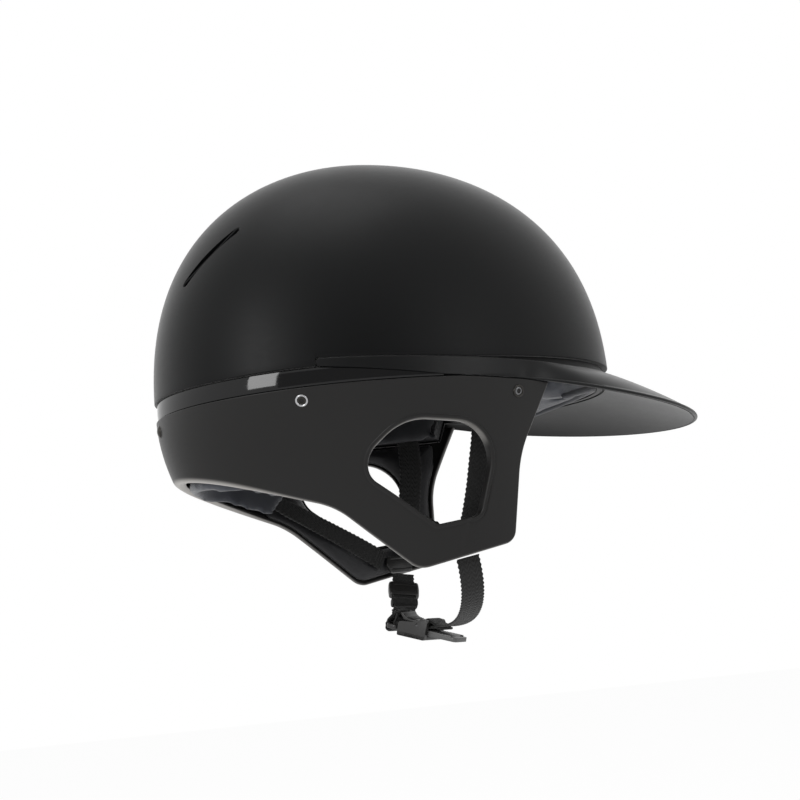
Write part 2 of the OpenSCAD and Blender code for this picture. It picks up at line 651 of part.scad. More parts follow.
module release_lever() {
    half = half_channel - 0.3;
    arm_end = -housing_l / 2 + 2;
    low = tongue_top + 0.9;
    underside = [[pin_x, pin_z - hub_r + 0.5], [pin_x - 3, low + 1.4], [-2, low + 1.4],
        [-3.2, tongue_top + 0.2], [-4, low + 1.2], [arm_end + 3, low + 1.6]];
    curled_end = [[arm_end - 2, low + 4.2], [arm_end - 3, low + 6.2], [arm_end - 1.4, low + 6.4],
        [arm_end - 0.4, low + 5.4], [arm_end + 2, low + 3.9]];
    back = [[-3, low + 3.4], [pin_x, pin_z + hub_r - 0.1]];
    color([0.05, 0.05, 0.055]) in_buckle() difference() {
        union() {
            translate([pin_x, 0, pin_z]) rotate([90, 0, 0])
                cylinder(r = hub_r, h = 2 * half, center = true);
            rotate([90, 0, 0]) linear_extrude(2 * half, center = true)
                polygon(concat(underside, curled_end, back));
            translate([pin_x + 1, -2.5, pin_z - 1]) cube([tab_x - pin_x - 1, 5, 2]);
        }
        translate([pin_x, 0, pin_z]) rotate([90, 0, 0])
            cylinder(r = pin_r + 0.05, h = 40, center = true);
    }
}
module lever_pin() {
    color([0.6, 0.6, 0.62]) in_buckle() translate([pin_x, 0, pin_z]) rotate([90, 0, 0])
        cylinder(r = pin_r, h = channel_w + 2 * wall, center = true);
}
spring_low = tongue_top + 0.25;
spring_w = 2.4;
module lever_spring() {
    half = half_channel + 0.5;
    rise = 0.3;
    n = 8;
    function bow(f, t) = [mix(-half, half, f), rise * pow(sin(180 * f), 2) + t];
    color([0.55, 0.55, 0.57]) in_buckle()
        translate([spring_x + spring_w / 2, 0, spring_low]) rotate([90, 0, 90])
            linear_extrude(spring_w, center = true) polygon(concat(
                [for (i = [0:n]) bow(i / n, 0)], [for (i = [n:-1:0]) bow(i / n, 0.3)]));
}

// Chin straps: cubic curves from the dividers down to the slider, keeper, tongue and housing
function curve(p, t) = p[0] * pow(1 - t, 3) + p[1] * 3 * t * pow(1 - t, 2)
    + p[2] * 3 * t * t * (1 - t) + p[3] * pow(t, 3);
function divider_foot(side) = divider_place(side) + [0.5, -side * 1.4, -divider_h / 2 - 1.9];
run_way = unit([-2.5, -7, -11]);
run_l = 25;
slider_at = 12;
slider_l = 10;
keeper_at = 21.5;
left_foot = divider_foot(1);
left_end = buckle_point([frame_x + 0.5, 0, tongue_low + frame_t + 2.2]);
left_tail = buckle_point([frame_x + 0.5, 0, tongue_low + 0.3]);
run_end = left_foot + run_way * run_l;
tongue_curve = [run_end, run_end + run_way * 6, left_end + buckle_up * 5, left_end];

module chin_strap_left() {
    n = 6;
    centres = concat([left_foot, left_foot + run_way * run_l / 2],
        [for (i = [0:n]) curve(tongue_curve, i / n)], [left_tail]);
    across = concat([[1, 0, 0], [1, 0, 0]],
        [for (i = [0:n]) mix([1, 0, 0], pin_way, ease(i / n))], [pin_way]);
    color([0.07, 0.07, 0.075]) webbing(centres, across, 2);
}
module chin_strap_right() {
    n = 20;
    foot = divider_foot(-1);
    end = buckle_point([bar_x + bar_r + 4, 0, bar_z]);
    last = buckle_point([bar_x + bar_r + 0.4, 0, bar_z]);
    c = [foot, foot + [6.2, 3, -36.4], buckle_point([bar_x + 21, 0, bar_z + 2]), end];
    color([0.07, 0.07, 0.075]) webbing(concat([for (i = [0:n]) curve(c, i / n)], [last]),
        concat([for (i = [0:n]) mix([1, 0, 0], pin_way, ease(1.1 * i / n))], [pin_way]), 1);
}

// A frame that the doubled webbing runs through, at a distance down its straight run
module webbing_frame(along, l, t, rim, r) {
    w = unit([1, 0, 0] - run_way * run_way[0]);
    face_way = cross(run_way, w);
    hole_h = 2 * web_t + 0.6;
    c = left_foot + run_way * along;
    multmatrix([[w[0], face_way[0], run_way[0], c[0]], [w[1], face_way[1], run_way[1], c[1]],
        [w[2], face_way[2], run_way[2], c[2]], [0, 0, 0, 1]]) difference() {
        linear_extrude(l, center = true) polygon(rounded([for (q = [[-1, -1], [1, -1], [1, 1], [-1, 1]])
            [q[0] * (web_w / 2 + rim), q[1] * (hole_h / 2 + t), r]]));
        cube([web_w + 0.6, hole_h, l + 2], center = true);
    }
}
module strap_slider() {
    color([0.07, 0.07, 0.075]) webbing_frame(slider_at, slider_l, 1.4, 2.6, 2);
}
module strap_keeper() {
    color([0.06, 0.06, 0.065]) webbing_frame(keeper_at, 5, 1, 1.4, 1);
}

module screw(head_h, length, socket) {
    difference() {
        union() {
            intersection() {
                cylinder(r = head_r - 0.9, h = head_h);
                translate([0, 0, head_h - 2 * head_r]) sphere(r = 2 * head_r);
            }
            translate([0, 0, -length]) cylinder(r = thread_r - 0.02, h = length);
        }
        translate([0, 0, head_h - 1.4]) cylinder(r = socket, h = 3, $fn = 6);
    }
}
module cup_washer() {
    rotate_extrude() polygon([[thread_r + 0.3, -1.1], [head_r, -1.1], [head_r, 0.2], [head_r - 0.5, 0.7],
        [head_r - 0.85, 0.6], [head_r - 0.85, -0.3], [thread_r + 0.3, -0.3]]);
}
screw_l = 9;
module rear_side_screws() {
    color([0.09, 0.09, 0.09]) at_side_screws(rear_screw, guard_out)
        translate([0, 0, -0.25]) screw(0.7, screw_l, 1.5);
}
module rear_cup_washers() {
    color([0.75, 0.75, 0.76]) at_side_screws(rear_screw, guard_out) cup_washer();
}
module front_side_screws() {
    color([0.3, 0.3, 0.3]) at_side_screws(front_screw, guard_out)
        translate([0, 0, -0.25]) screw(0.7, screw_l, 1.5);
}
module front_cup_washers() {
    color([0.06, 0.06, 0.06]) at_side_screws(front_screw, guard_out) cup_washer();
}
module nape_screw() {
    color([0.06, 0.06, 0.065]) at_nape(guard_out) {
        intersection() {
            translate([0, 0, -1.1]) cylinder(r = head_r, h = 4);
            translate([0, 0, 1.6 - 1.6 * head_r]) sphere(r = 1.6 * head_r);
        }
        translate([0, 0, -screw_l]) cylinder(r = thread_r - 0.02, h = screw_l);
    }
}
module threaded_inserts() {
    insert_l = 6;
    color([0.75, 0.6, 0.3]) at_all_screws(flange_out_low + 0.3)
        translate([0, 0, -insert_l]) difference() {
            cylinder(r = insert_r, h = insert_l);
            translate([0, 0, -1]) cylinder(r = thread_r, h = insert_l + 2);
        }
}

outer_shell();
trim_band();
brim();
lower_guard();
vent_grilles();
foam_liner();
foam_crown();
guard_lining(1);  // guard_lining_left
guard_lining(-1);  // guard_lining_right
front_pad();
side_pad(1);  // side_pad_left
side_pad(-1);  // side_pad_right
nape_pad();
crown_pad();
pad_hook_patches();
front_strap(1);  // front_strap_left
front_strap(-1);  // front_strap_right
rear_strap(1);  // rear_strap_left
rear_strap(-1);  // rear_strap_right
strap_rivets();
strap_divider(1);  // strap_divider_left
strap_divider(-1);  // strap_divider_right
chin_strap_left();
chin_strap_right();
strap_slider();
strap_keeper();
buckle_tongue();
buckle_housing();
release_lever();
lever_pin();
lever_spring();
rear_side_screws();
rear_cup_washers();
front_side_screws();
front_cup_washers();
nape_screw();
threaded_inserts();
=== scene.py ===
# The looks of the riding helmet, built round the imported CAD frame
import json
import math

import bmesh
import bpy
import numpy as np
from mathutils import Matrix, Vector
from mathutils.geometry import delaunay_2d_cdt


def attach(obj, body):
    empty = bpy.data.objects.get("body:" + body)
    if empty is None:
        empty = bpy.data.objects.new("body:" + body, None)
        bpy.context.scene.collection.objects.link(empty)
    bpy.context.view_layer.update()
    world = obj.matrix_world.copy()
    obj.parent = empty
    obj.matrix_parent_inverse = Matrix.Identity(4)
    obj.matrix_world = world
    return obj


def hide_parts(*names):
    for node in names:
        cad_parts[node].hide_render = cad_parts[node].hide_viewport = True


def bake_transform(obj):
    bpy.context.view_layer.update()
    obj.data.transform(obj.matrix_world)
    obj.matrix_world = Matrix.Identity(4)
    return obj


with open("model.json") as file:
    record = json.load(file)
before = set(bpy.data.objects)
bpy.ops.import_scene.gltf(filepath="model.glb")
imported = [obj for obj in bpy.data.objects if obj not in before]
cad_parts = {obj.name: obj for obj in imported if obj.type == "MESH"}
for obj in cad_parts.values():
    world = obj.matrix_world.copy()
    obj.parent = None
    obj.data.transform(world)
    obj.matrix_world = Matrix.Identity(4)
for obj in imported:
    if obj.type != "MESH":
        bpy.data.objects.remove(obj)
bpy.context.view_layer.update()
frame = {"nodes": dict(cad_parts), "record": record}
scene = bpy.context.scene
MM = 0.001
SLOTS = [m["slot"] for m in frame["record"]["materials"]]
SIDES = ((1, "left"), (-1, "right"))

# Sizes of the helmet in millimetres, as in the part's source
FRONT, REAR, HALF_W, CROWN = 151.0, 129.0, 108.0, 147.0
DOME_P, DOME_Q = 0.817, 0.94
FRONT_DRAW, REAR_DRAW = 0.296, 0.00483
TUCK_REAR, TUCK_FRONT, TUCK_X0, TUCK_X1 = 0.00738, 0.00226, -111.0, 60.0
SHELL_WALL, FLANGE_T, FLANGE_DROP = 3.0, 4.2, 13.0
BAND_H, BAND_T, BAND_INSET = 10.5, 1.6, 1.6
BRIM_REACH, BRIM_HALF_W, BRIM_EDGE, ARM_T, ARM_BACK = 208.0, 95.0, 2.0, 1.4, 56.0
GUARD_T, GUARD_DEPTH, LINING_T, LINING_MARGIN = 3.4, 104.0, 4.6, 3.0
LINER_T, FRONT_PAD_T, SIDE_PAD_T, NAPE_PAD_T, CROWN_PAD_T = 21.0, 10.0, 5.0, 9.0, 8.0
SLOT_L, SLOT_W = 47.0, 3.0
THREAD_R, HEAD_R = 2.0, 3.7
WEB_W, WEB_T, BUCKLE_DROP = 14.0, 1.5, 135.4
HOUSING_L, CHANNEL_W, TONGUE_T, TAIL_L, PIN_R = 20.0, 15.0, 2.6, 30.5, 1.0

GAP = 0.2
REBATE = BAND_INSET + BAND_T + GAP
FLANGE_IN = REBATE + FLANGE_T
GUARD_OUT = 0.4
GUARD_IN = GUARD_OUT + GUARD_T
FLANGE_OUT_LOW = GUARD_IN + 0.4
LINER_OUT_LOW = FLANGE_IN + 0.6
LINER_OUT = SHELL_WALL + 0.5
LINER_IN = LINER_OUT + LINER_T
LINER_DROP = FLANGE_DROP - 1
LINER_FRONT_LOW = 4.0
LINING_OUT = GUARD_IN + 0.3
LINING_IN = LINING_OUT + LINING_T
PAD_OUT = LINER_IN + 0.7 + 0.4


def ease(t):
    c = np.clip(t, 0, 1)
    return c * c * (3 - 2 * c)


def mix(a, b, f):
    return a + (b - a) * f


def unit(v):
    v = np.asarray(v, float)
    return v / np.linalg.norm(v, axis=-1, keepdims=True)


def run_of(line):
    """Length along a line at each of its points."""
    return np.concatenate([[0], np.cumsum(np.linalg.norm(np.diff(line, axis=0), axis=1))])


def sampled(t, s, line):
    """Points of a line at the lengths t, where s is the length at its own points."""
    return np.stack([np.interp(t, s, line[:, i]) for i in range(line.shape[1])], -1)


def half_length(x, d=0.0):
    """The shell's half length ahead of its middle or behind it, d inside the face."""
    return np.where(x > 0, FRONT, REAR) - d


def latitude(z, d=0.0):
    return np.arcsin(np.clip(z / (CROWN - d), 0, 1) ** (1 / DOME_P))


def crown_point(a, k, d):
    ca, sa = np.cos(a), np.sin(a)
    r = np.maximum(np.cos(k), 0) ** DOME_Q
    x = half_length(ca, d) * ca * r
    y = (HALF_W - d) * sa * r
    z = (CROWN - d) * np.sin(k) ** DOME_P
    return np.stack(np.broadcast_arrays(x, y, z), -1)


def tuck(x):
    return mix(TUCK_REAR, TUCK_FRONT, ease((x - TUCK_X0) / (TUCK_X1 - TUCK_X0)))


def skirt_reach(ca, u):
    return np.where(ca > 0, FRONT - FRONT_DRAW * u, REAR - REAR_DRAW * u * u)


def face(a, z, d=0.0):
    """The helmet's face at plan angle a and height z, moved d inwards."""
    a, z, d = np.broadcast_arrays(*(np.asarray(v, float) for v in (a, z, d)))
    ca, sa = np.cos(a), np.sin(a)
    above = crown_point(a, latitude(np.maximum(z, 0), d), d)
    u = np.maximum(-z, 0)
    x = (skirt_reach(ca, u) - d) * ca
    y = (HALF_W * (1 - u * tuck(x)) - d) * sa
    below = np.stack([x, y, z], -1)
    return np.where((z >= 0)[..., None], above, below)


def angle_at(x, z, d=0.0):
    x, z, d = np.broadcast_arrays(*(np.asarray(v, float) for v in (x, z, d)))
    side = np.where(x > 0, 1.0, -1.0)
    up = half_length(x, d) * np.cos(latitude(np.maximum(z, 0), d)) ** DOME_Q
    r = np.where(z >= 0, up, skirt_reach(side, np.maximum(-z, 0)) - d)
    return np.arccos(np.clip(x / r, -1, 1))


def at(x, z, d, side):
    """The same face found by its x and z; side 1 is the wearer's left, -1 the right."""
    return face(angle_at(x, z, d), z, d) * np.array([1, side, 1])


def out_at(x, z, side):
    e = 0.5
    dx = at(x + e, z, 0, side) - at(x - e, z, 0, side)
    dz = at(x, z + e, 0, side) - at(x, z - e, 0, side)
    return -side * unit(np.cross(dx, dz))


def arm_top(x):
    """Height of the brim's arm along its upper edge."""
    return np.maximum(6.3, 12 - 0.055 * x)


def arm_low(x):
    return np.maximum(3 - 0.1346 * x, 1.87 - 0.061 * x)


ARM_A = float(angle_at(-ARM_BACK, BAND_H))
ARM_ROUND = 1.9


def arm_round(s):
    """How far the arm's rounded end falls away at the share s of its radius."""
    return ARM_ROUND * (1 - np.sqrt(np.maximum(0, 1 - (1 - s) ** 2)))


# Shader nodes
class Value:
    """A node's output, which takes part in sums as a number does."""

    def __init__(self, tree, socket):
        self.tree, self.socket = tree, socket

    def math(self, op, other=0.0):
        return value(self.tree, "ShaderNodeMath", {"operation": op}, i0=self, i1=other, i2=0.0)

    def __add__(self, other):
        return self.math("ADD", other)

    def __sub__(self, other):
        return self.math("SUBTRACT", other)

    def __mul__(self, other):
        return self.math("MULTIPLY", other)

    def __truediv__(self, other):
        return self.math("DIVIDE", other)

    def __abs__(self):
        return self.math("ABSOLUTE")


def feed(tree, node, inputs):
    """Joins or sets a node's inputs by name; i0 is the first by place."""
    for k, v in inputs.items():
        key = int(k[1:]) if k[0] == "i" and k[1:].isdigit() else k.replace("_", " ")
        v = getattr(v, "socket", v)
        if isinstance(v, bpy.types.NodeSocket):
            tree.links.new(v, node.inputs[key])
        else:
            node.inputs[key].default_value = v


def put(tree, kind, props=None, **inputs):
    node = tree.nodes.new(kind)
    for k, v in (props or {}).items():
        setattr(node, k, v)
    feed(tree, node, inputs)
    return node


def value(tree, kind, props=None, out=0, **inputs):
    return Value(tree, put(tree, kind, props, **inputs).outputs[out])


def rgb(v, k=1.0):
    return tuple(c * k for c in v) + (1.0,)


def blend_colour(fac, a, b):
    return value(fac.tree, "ShaderNodeMix", {"data_type": "RGBA"}, 2, i0=fac, i6=a, i7=b)


def ramp(v, low, high, a=0.0, b=1.0):
    return value(v.tree, "ShaderNodeMapRange", None, Value=v, From_Min=low, From_Max=high, To_Min=a, To_Max=b)


def place_of(tree, scale=(1, 1, 1)):
    where = value(tree, "ShaderNodeTexCoord", None, "Object")
    return value(tree, "ShaderNodeMapping", None, Vector=where, Scale=scale)


def noise(where, scale, detail=2.0, rough=0.5):
    inputs = {"Vector": where, "Scale": scale, "Detail": detail, "Roughness": rough}
    return value(where.tree, "ShaderNodeTexNoise", None, **inputs)


def axes_of(vector):
    node = put(vector.tree, "ShaderNodeSeparateXYZ", None, Vector=vector)
    return [Value(vector.tree, s) for s in node.outputs]


def new_material(name):
    mat = bpy.data.materials.new(name)
    mat.use_nodes = True
    return mat, mat.node_tree


def finished(mat, colour, rough, height, strength, relief_mm, **plain):
    """Joins colour, roughness and relief to a material's shader and sets its plain inputs."""
    t = mat.node_tree
    bump = put(t, "ShaderNodeBump", None, Height=height, Strength=strength, Distance=relief_mm * MM)
    plain.update(Base_Color=colour, Roughness=rough, Normal=bump.outputs[0])
    feed(t, t.nodes["Principled BSDF"], plain)
    return mat


# Materials
def plastic(name, base, rough, grain=0.35, grain_mm=0.35, spec=0.5, sheen=0.0, edge=None):
    """Moulded or painted plastic: fine grain, cloudy tone, faint handling marks, and a painted highlight in
    the edge colour if given.
    """
    mat, t = new_material(name)
    p = place_of(t)
    cloud = noise(p, 22, 3)
    fine = noise(p, 1 / (grain_mm * MM), 2, 0.6)
    rub = noise(place_of(t, (1, 1, 6)), 140, 4, 0.65)
    colour = blend_colour(cloud * 0.6 + fine * 0.4, rgb(base, 0.82), rgb(base, 1.18))
    # the edge colour is a painted highlight, laid where the first value of the UV map is high
    if edge:
        painted_highlight = axes_of(value(t, "ShaderNodeUVMap"))[0] * ramp(cloud, 0.2, 0.8, 0.8, 1.1)
        colour = blend_colour(painted_highlight, colour, rgb(edge))
    gloss = ramp(cloud, 0.3, 0.7, rough - 0.03, rough + 0.03) + ramp(rub, 0.45, 0.75, 0, -0.04)
    return finished(mat, colour, gloss, fine, grain, 0.04,
                    Specular_IOR_Level=spec, Sheen_Weight=sheen, Sheen_Roughness=0.32)


def metal(name, base, rough):
    """Drawn or plated metal: fine lines along the piece and a cloudy tone."""
    mat, t = new_material(name)
    lines = noise(place_of(t, (1, 1, 9)), 900, 4, 0.7)
    colour = blend_colour(noise(place_of(t), 160, 3), rgb(base, 0.88), rgb(base, 1.12))
    gloss = ramp(lines, 0.3, 0.7, rough - 0.06, rough + 0.08)
    return finished(mat, colour, gloss, lines, 0.25, 0.02, Metallic=1.0)


def cloth(name, base, rough, pitch_mm=0.55, sheen=0.25, relief_mm=0.12, spec=0.35):
    """Knitted or woven cloth: two crossing sets of yarns over the piece, with slubs and faint wear."""
    mat, t = new_material(name)
    p = place_of(t)
    x, y, z = axes_of(value(t, "ShaderNodeTexCoord", None, "Object"))
    wobble = (noise(p, 300, 2) - 0.5) * 0.0004
    k = 2 * math.pi / (pitch_mm * MM)
    along = ((x + y + wobble) * k).math("SINE")
    up = ((z + wobble) * (k * 1.25)).math("SINE")
    knit = (along * up + 1.0) * 0.5
    slub = noise(p, 900, 3, 0.6)
    tone = knit * 0.45 + (slub * 0.3 + noise(p, 45, 3) * 0.35)
    colour = blend_colour(tone, rgb(base, 0.75), rgb(base, 1.25))
    gloss = ramp(slub, 0.3, 0.7, rough - 0.06, rough + 0.06)
    return finished(mat, colour, gloss, knit + slub * 0.5, 0.6, relief_mm,
                    Specular_IOR_Level=spec, Sheen_Weight=sheen, Sheen_Roughness=0.4)


def webbing_material(name, base):
    """Woven webbing: chevron ribs along the strap from its own measure, u along and v across in mm."""
    mat, t = new_material(name)
    uv = value(t, "ShaderNodeUVMap")
    u, v, _ = axes_of(uv)
    zigzag = abs((v / 4.6).math("FRACT") - 0.5)
    rib = abs(((u / 3.0 + zigzag * 2.2) * math.pi).math("SINE"))
    yarn = abs((v * (math.pi / 0.72)).math("SINE"))
    fuzz = noise(value(t, "ShaderNodeMapping", None, Vector=uv), 3.1, 3, 0.7)
    weave = rib * 0.7 + yarn * 0.3
    tone = weave * 0.5 + (fuzz * 0.25 + noise(place_of(t), 60, 3) * 0.25)
    colour = blend_colour(tone, rgb(base, 0.6), rgb(base, 1.4))
    return finished(mat, colour, ramp(weave, 0, 1, 0.85, 0.62), weave + fuzz * 0.35, 0.9, 0.3,
                    Specular_IOR_Level=0.3, Sheen_Weight=0.15, Sheen_Roughness=0.5)


def foam_material(name, base):
    """Moulded expanded foam: closed beads with dark boundaries."""
    mat, t = new_material(name)
    p = place_of(t)
    cells = value(t, "ShaderNodeTexVoronoi", {"feature": "DISTANCE_TO_EDGE"}, "Distance", Vector=p, Scale=330)
    bead = ramp(cells, 0.0, 0.22)
    tone = bead * 0.6 + noise(p, 35, 3) * 0.4
    colour = blend_colour(tone, rgb(base, 0.5), rgb(base, 1.35))
    return finished(mat, colour, ramp(bead, 0, 1, 0.85, 0.55), bead, 0.5, 0.2, Specular_IOR_Level=0.35)


SHELL_COLOUR = (0.0022, 0.0024, 0.0026)
GUARD_COLOUR = (0.0075, 0.0071, 0.0069)
# pale grey painted on the guard's lower edge and the upper edges of its ear openings: a painted highlight for
# light caught from below
LIP_HIGHLIGHT_COLOUR = (0.5, 0.48, 0.455)
M = {
    "shell": plastic("soft_touch_shell", SHELL_COLOUR, 0.44, spec=0.125, sheen=0.37),
    "brim": plastic("soft_touch_brim", SHELL_COLOUR, 0.38, spec=0.2, sheen=0.4),
    "guard": plastic("matte_guard", GUARD_COLOUR, 0.44, 0.45, spec=0.28, sheen=0.17, edge=LIP_HIGHLIGHT_COLOUR),
    "band": plastic("polished_band", (0.003, 0.003, 0.0033), 0.07, 0.03, 1.6, spec=0.34),
    "grille": plastic("grille_black", (0.14, 0.14, 0.145), 0.5),
    "foam": foam_material("moulded_foam", (0.02, 0.02, 0.022)),
    "lining": cloth("lining_cloth", (0.010, 0.010, 0.012), 0.42, sheen=0.4, spec=0.5),
    "pad": cloth("satin_pad", (0.034, 0.038, 0.05), 0.42, 0.45, sheen=0.4, spec=0.5),
    # a darker copy of the satin pad cloth for the side pads inside the guard: painted shade
    "dark_pad": cloth("shade_darkened_satin_pad", (0.009, 0.0098, 0.0125), 0.45, 0.45, sheen=0.2, spec=0.4),
    # paler than the pad cloth: a painted highlight for the light the front pad's hem catches from below
    "piping": cloth("pad_hem_painted_highlight", (0.05, 0.052, 0.06), 0.5, 0.7, sheen=0.4),
    "hook_tape": cloth("hook_tape", (0.01, 0.01, 0.01), 0.8, 1.1, relief_mm=0.4),
    "webbing": webbing_material("woven_webbing", (0.0105, 0.0105, 0.0102)),
    "thread": cloth("sewing_thread", (0.02, 0.02, 0.02), 0.6, 0.3, sheen=0.3),
    "fittings": plastic("moulded_nylon", (0.017, 0.0165, 0.016), 0.36, 0.6, 0.22),
    # a lighter copy of the moulded nylon, used on the buckle's tongue: a painted highlight on its upward face
    "strip": plastic("moulded_nylon_painted_highlight", (0.1, 0.1, 0.1), 0.36, 0.6, 0.22),
    "steel": metal("plain_steel", (0.17, 0.17, 0.175), 0.38),
    "bright_steel": metal("bright_plated_steel", (0.46, 0.46, 0.47), 0.26),
    "black_steel": metal("black_coated_steel", (0.045, 0.043, 0.04), 0.3),
    "brass": metal("turned_brass", (0.7, 0.55, 0.28), 0.3),
}


# Meshes
def add(name, data):
    ob = bpy.data.objects.new(name, data)
    scene.collection.objects.link(ob)
    return ob


def smooth(ob, sharp=None):
    """Smooth faces, with hard edges over an angle in degrees if given."""
    ob.data.polygons.foreach_set("use_smooth", np.full(len(ob.data.polygons), True))
    if sharp:
        ob.data.set_sharp_from_angle(angle=math.radians(sharp))
    return ob


def piece(name, points, faces, mat, nodes=(), slot=None, body="helmet", sharp=None, uv=None, merge=1e-7):
    """A piece from points in mm, riding on a body and standing for the CAD nodes named."""
    me = bpy.data.meshes.new(name)
    pts = np.asarray(points, float).reshape(-1, 3) * MM
    me.from_pydata(pts.tolist(), [], [list(map(int, f)) for f in faces])
    if uv is not None:
        layer = me.uv_layers.new(name="measure")
        idx = np.zeros(len(me.loops), int)
        me.loops.foreach_get("vertex_index", idx)
        layer.data.foreach_set("uv", np.asarray(uv, float)[idx].ravel())
    bm = bmesh.new()
    bm.from_mesh(me)
    bmesh.ops.remove_doubles(bm, verts=bm.verts, dist=merge)
    bmesh.ops.dissolve_degenerate(bm, edges=bm.edges, dist=1e-8)
    bmesh.ops.recalc_face_normals(bm, faces=bm.faces)
    bm.to_mesh(me)
    bm.free()
    me.materials.append(M[mat])
    ob = smooth(add(name, me), sharp)
    if body:
        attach(ob, body)
    if nodes:
        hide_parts(nodes)
    if slot or mat in SLOTS:
        slot or mat
    return ob


def grid_faces(n, m, wrap_n=False, wrap_m=False):
    """Faces over a grid of n by m points, joined round where it wraps."""
    i, j = np.meshgrid(np.arange(n if wrap_n else n - 1), np.arange(m if wrap_m else m - 1), indexing="ij")
    k, l = (i + 1) % n, (j + 1) % m
    return np.stack([i * m + j, i * m + l, k * m + l, k * m + j], -1).reshape(-1, 4).tolist()


def tube_faces(n, m):
    """Faces of a tube of n rings with m points each, closed at both ends."""
    return grid_faces(n, m, wrap_m=True) + [list(range(m))[::-1], list(range((n - 1) * m, n * m))]


def tube(rings):
    """Points and faces of a tube through rings of points, closed at both ends."""
    pts = np.asarray(rings, float)
    return pts, tube_faces(*pts.shape[:2])


def torus(rings):
    """Points and faces of a closed loop of rings of points."""
    pts = np.asarray(rings, float)
    return pts, grid_faces(*pts.shape[:2], wrap_n=True, wrap_m=True)


def joined(name, parts, mat, **kw):
    """Several point and face lists as one piece."""
    pts, faces, n = [], [], 0
    for p, f in parts:
        p = np.asarray(p, float).reshape(-1, 3)
        pts.append(p)
        faces += [[n + v for v in q] for q in f]
        n += len(p)
    return piece(name, np.concatenate(pts), faces, mat, **kw)


def apply_modifiers(ob):
    dg = bpy.context.evaluated_depsgraph_get()
    new = bpy.data.meshes.new_from_object(ob.evaluated_get(dg))
    ob.modifiers.clear()
    old = ob.data
    ob.data = new
    bpy.data.meshes.remove(old)


def cut(ob, cutters, sharp):
    """Boolean difference, then the cutters are removed."""
    for c in cutters:
        m = ob.modifiers.new("cut", "BOOLEAN")
        m.operation, m.solver, m.object = "DIFFERENCE", "EXACT", c
    bpy.context.view_layer.update()
    apply_modifiers(ob)
    for c in cutters:
        bpy.data.objects.remove(c)
    smooth(ob, sharp)


def bevelled(ob, width, segments=2):
    m = ob.modifiers.new("bevel", "BEVEL")
    m.width, m.segments, m.limit_method, m.angle_limit = width * MM, segments, "ANGLE", math.radians(32)
    apply_modifiers(ob)
    return smooth(ob, 48)


# Camera, fitted to the photograph
BACK = Vector((-0.290946, -0.946316, -0.140842))
RIGHT = Vector((0.955222, -0.279031, -0.098456))
UP = Vector((0.053871, -0.163180, 0.985124))
CAMERA_PLACE = Vector((-0.33101, -1.14155, -0.16632))
cam = add("camera", bpy.data.cameras.new("camera"))
cam.matrix_world = Matrix([(RIGHT[i], UP[i], BACK[i], CAMERA_PLACE[i]) for i in range(3)] + [(0, 0, 0, 1)])
cam.data.sensor_width, cam.data.lens = 36, 89.29
cam.data.clip_start, cam.data.clip_end = 0.05, 60
scene.camera = cam
scene.view_settings.view_transform = "Standard"

# Floor, world and light
FLOOR_Z, FLOOR_HALF = -0.30, 9.0
WHITE = (1, 1, 1, 1)
SEEN = ("Is Camera Ray", "Is Glossy Ray", "Is Transmission Ray")


def ray_kinds(t, kinds):
    """1 for a ray of any of the kinds named."""
    rays = put(t, "ShaderNodeLightPath")
    first, *others = (Value(t, rays.outputs[k]) for k in kinds)
    for other in others:
        first = first.math("MAXIMUM", other)
    return first


def emission(t, kind, strength):
    return put(t, kind, None, Color=WHITE, Strength=strength)


def output(t, kind, fac, first, second):
    both = put(t, "ShaderNodeMixShader", None, i0=fac, i1=first.outputs[0], i2=second.outputs[0])
    put(t, kind, None, Surface=both.outputs[0])


def stage_card(name, points, faces, mat):
    me = bpy.data.meshes.new(name)
    me.from_pydata(points, [], faces)
    me.materials.append(mat)
    add(name, me)


def make_floor():
    mat, t = new_material("pale_floor")
    t.nodes.clear()
    colour = blend_colour(noise(place_of(t), 3, 2), (0.92, 0.92, 0.92, 1), (0.94, 0.94, 0.94, 1))
    lit = put(t, "ShaderNodeBsdfDiffuse", None, Color=colour)
    glow = emission(t, "ShaderNodeEmission", 1.0)
    output(t, "ShaderNodeOutputMaterial", ray_kinds(t, SEEN) * 0.965, lit, glow)
    corners = [(x * FLOOR_HALF, y * FLOOR_HALF, FLOOR_Z) for x, y in ((-1, -1), (1, -1), (1, 1), (-1, 1))]
    stage_card("floor", corners, [(0, 1, 2, 3)], mat)


def make_world():
    world = bpy.data.worlds.new("studio")
    scene.world = world
    world.use_nodes = True
    t = world.node_tree
    t.nodes.clear()
    soft, white = (emission(t, "ShaderNodeBackground", v) for v in (0.42, 1.0))
    output(t, "ShaderNodeOutputWorld", ray_kinds(t, SEEN), soft, white)


def toward(azimuth, elevation, far):
    a, e = math.radians(azimuth), math.radians(elevation)
    return (far * math.cos(e) * math.cos(a), far * math.cos(e) * math.sin(a), far * math.sin(e))


def softbox(name, place, width, height, glow):
    """A rectangular lamp that faces the helmet's middle."""
    data = bpy.data.lights.new(name, "AREA")
    data.shape = "RECTANGLE"
    data.size, data.size_y = width, height
    data.energy = glow * math.pi * width * height
    ob = add(name, data)
    ob.location = place
    ob.rotation_mode = "QUATERNION"
    ob.rotation_quaternion = (-Vector(place)).to_track_quat("-Z", "Y")


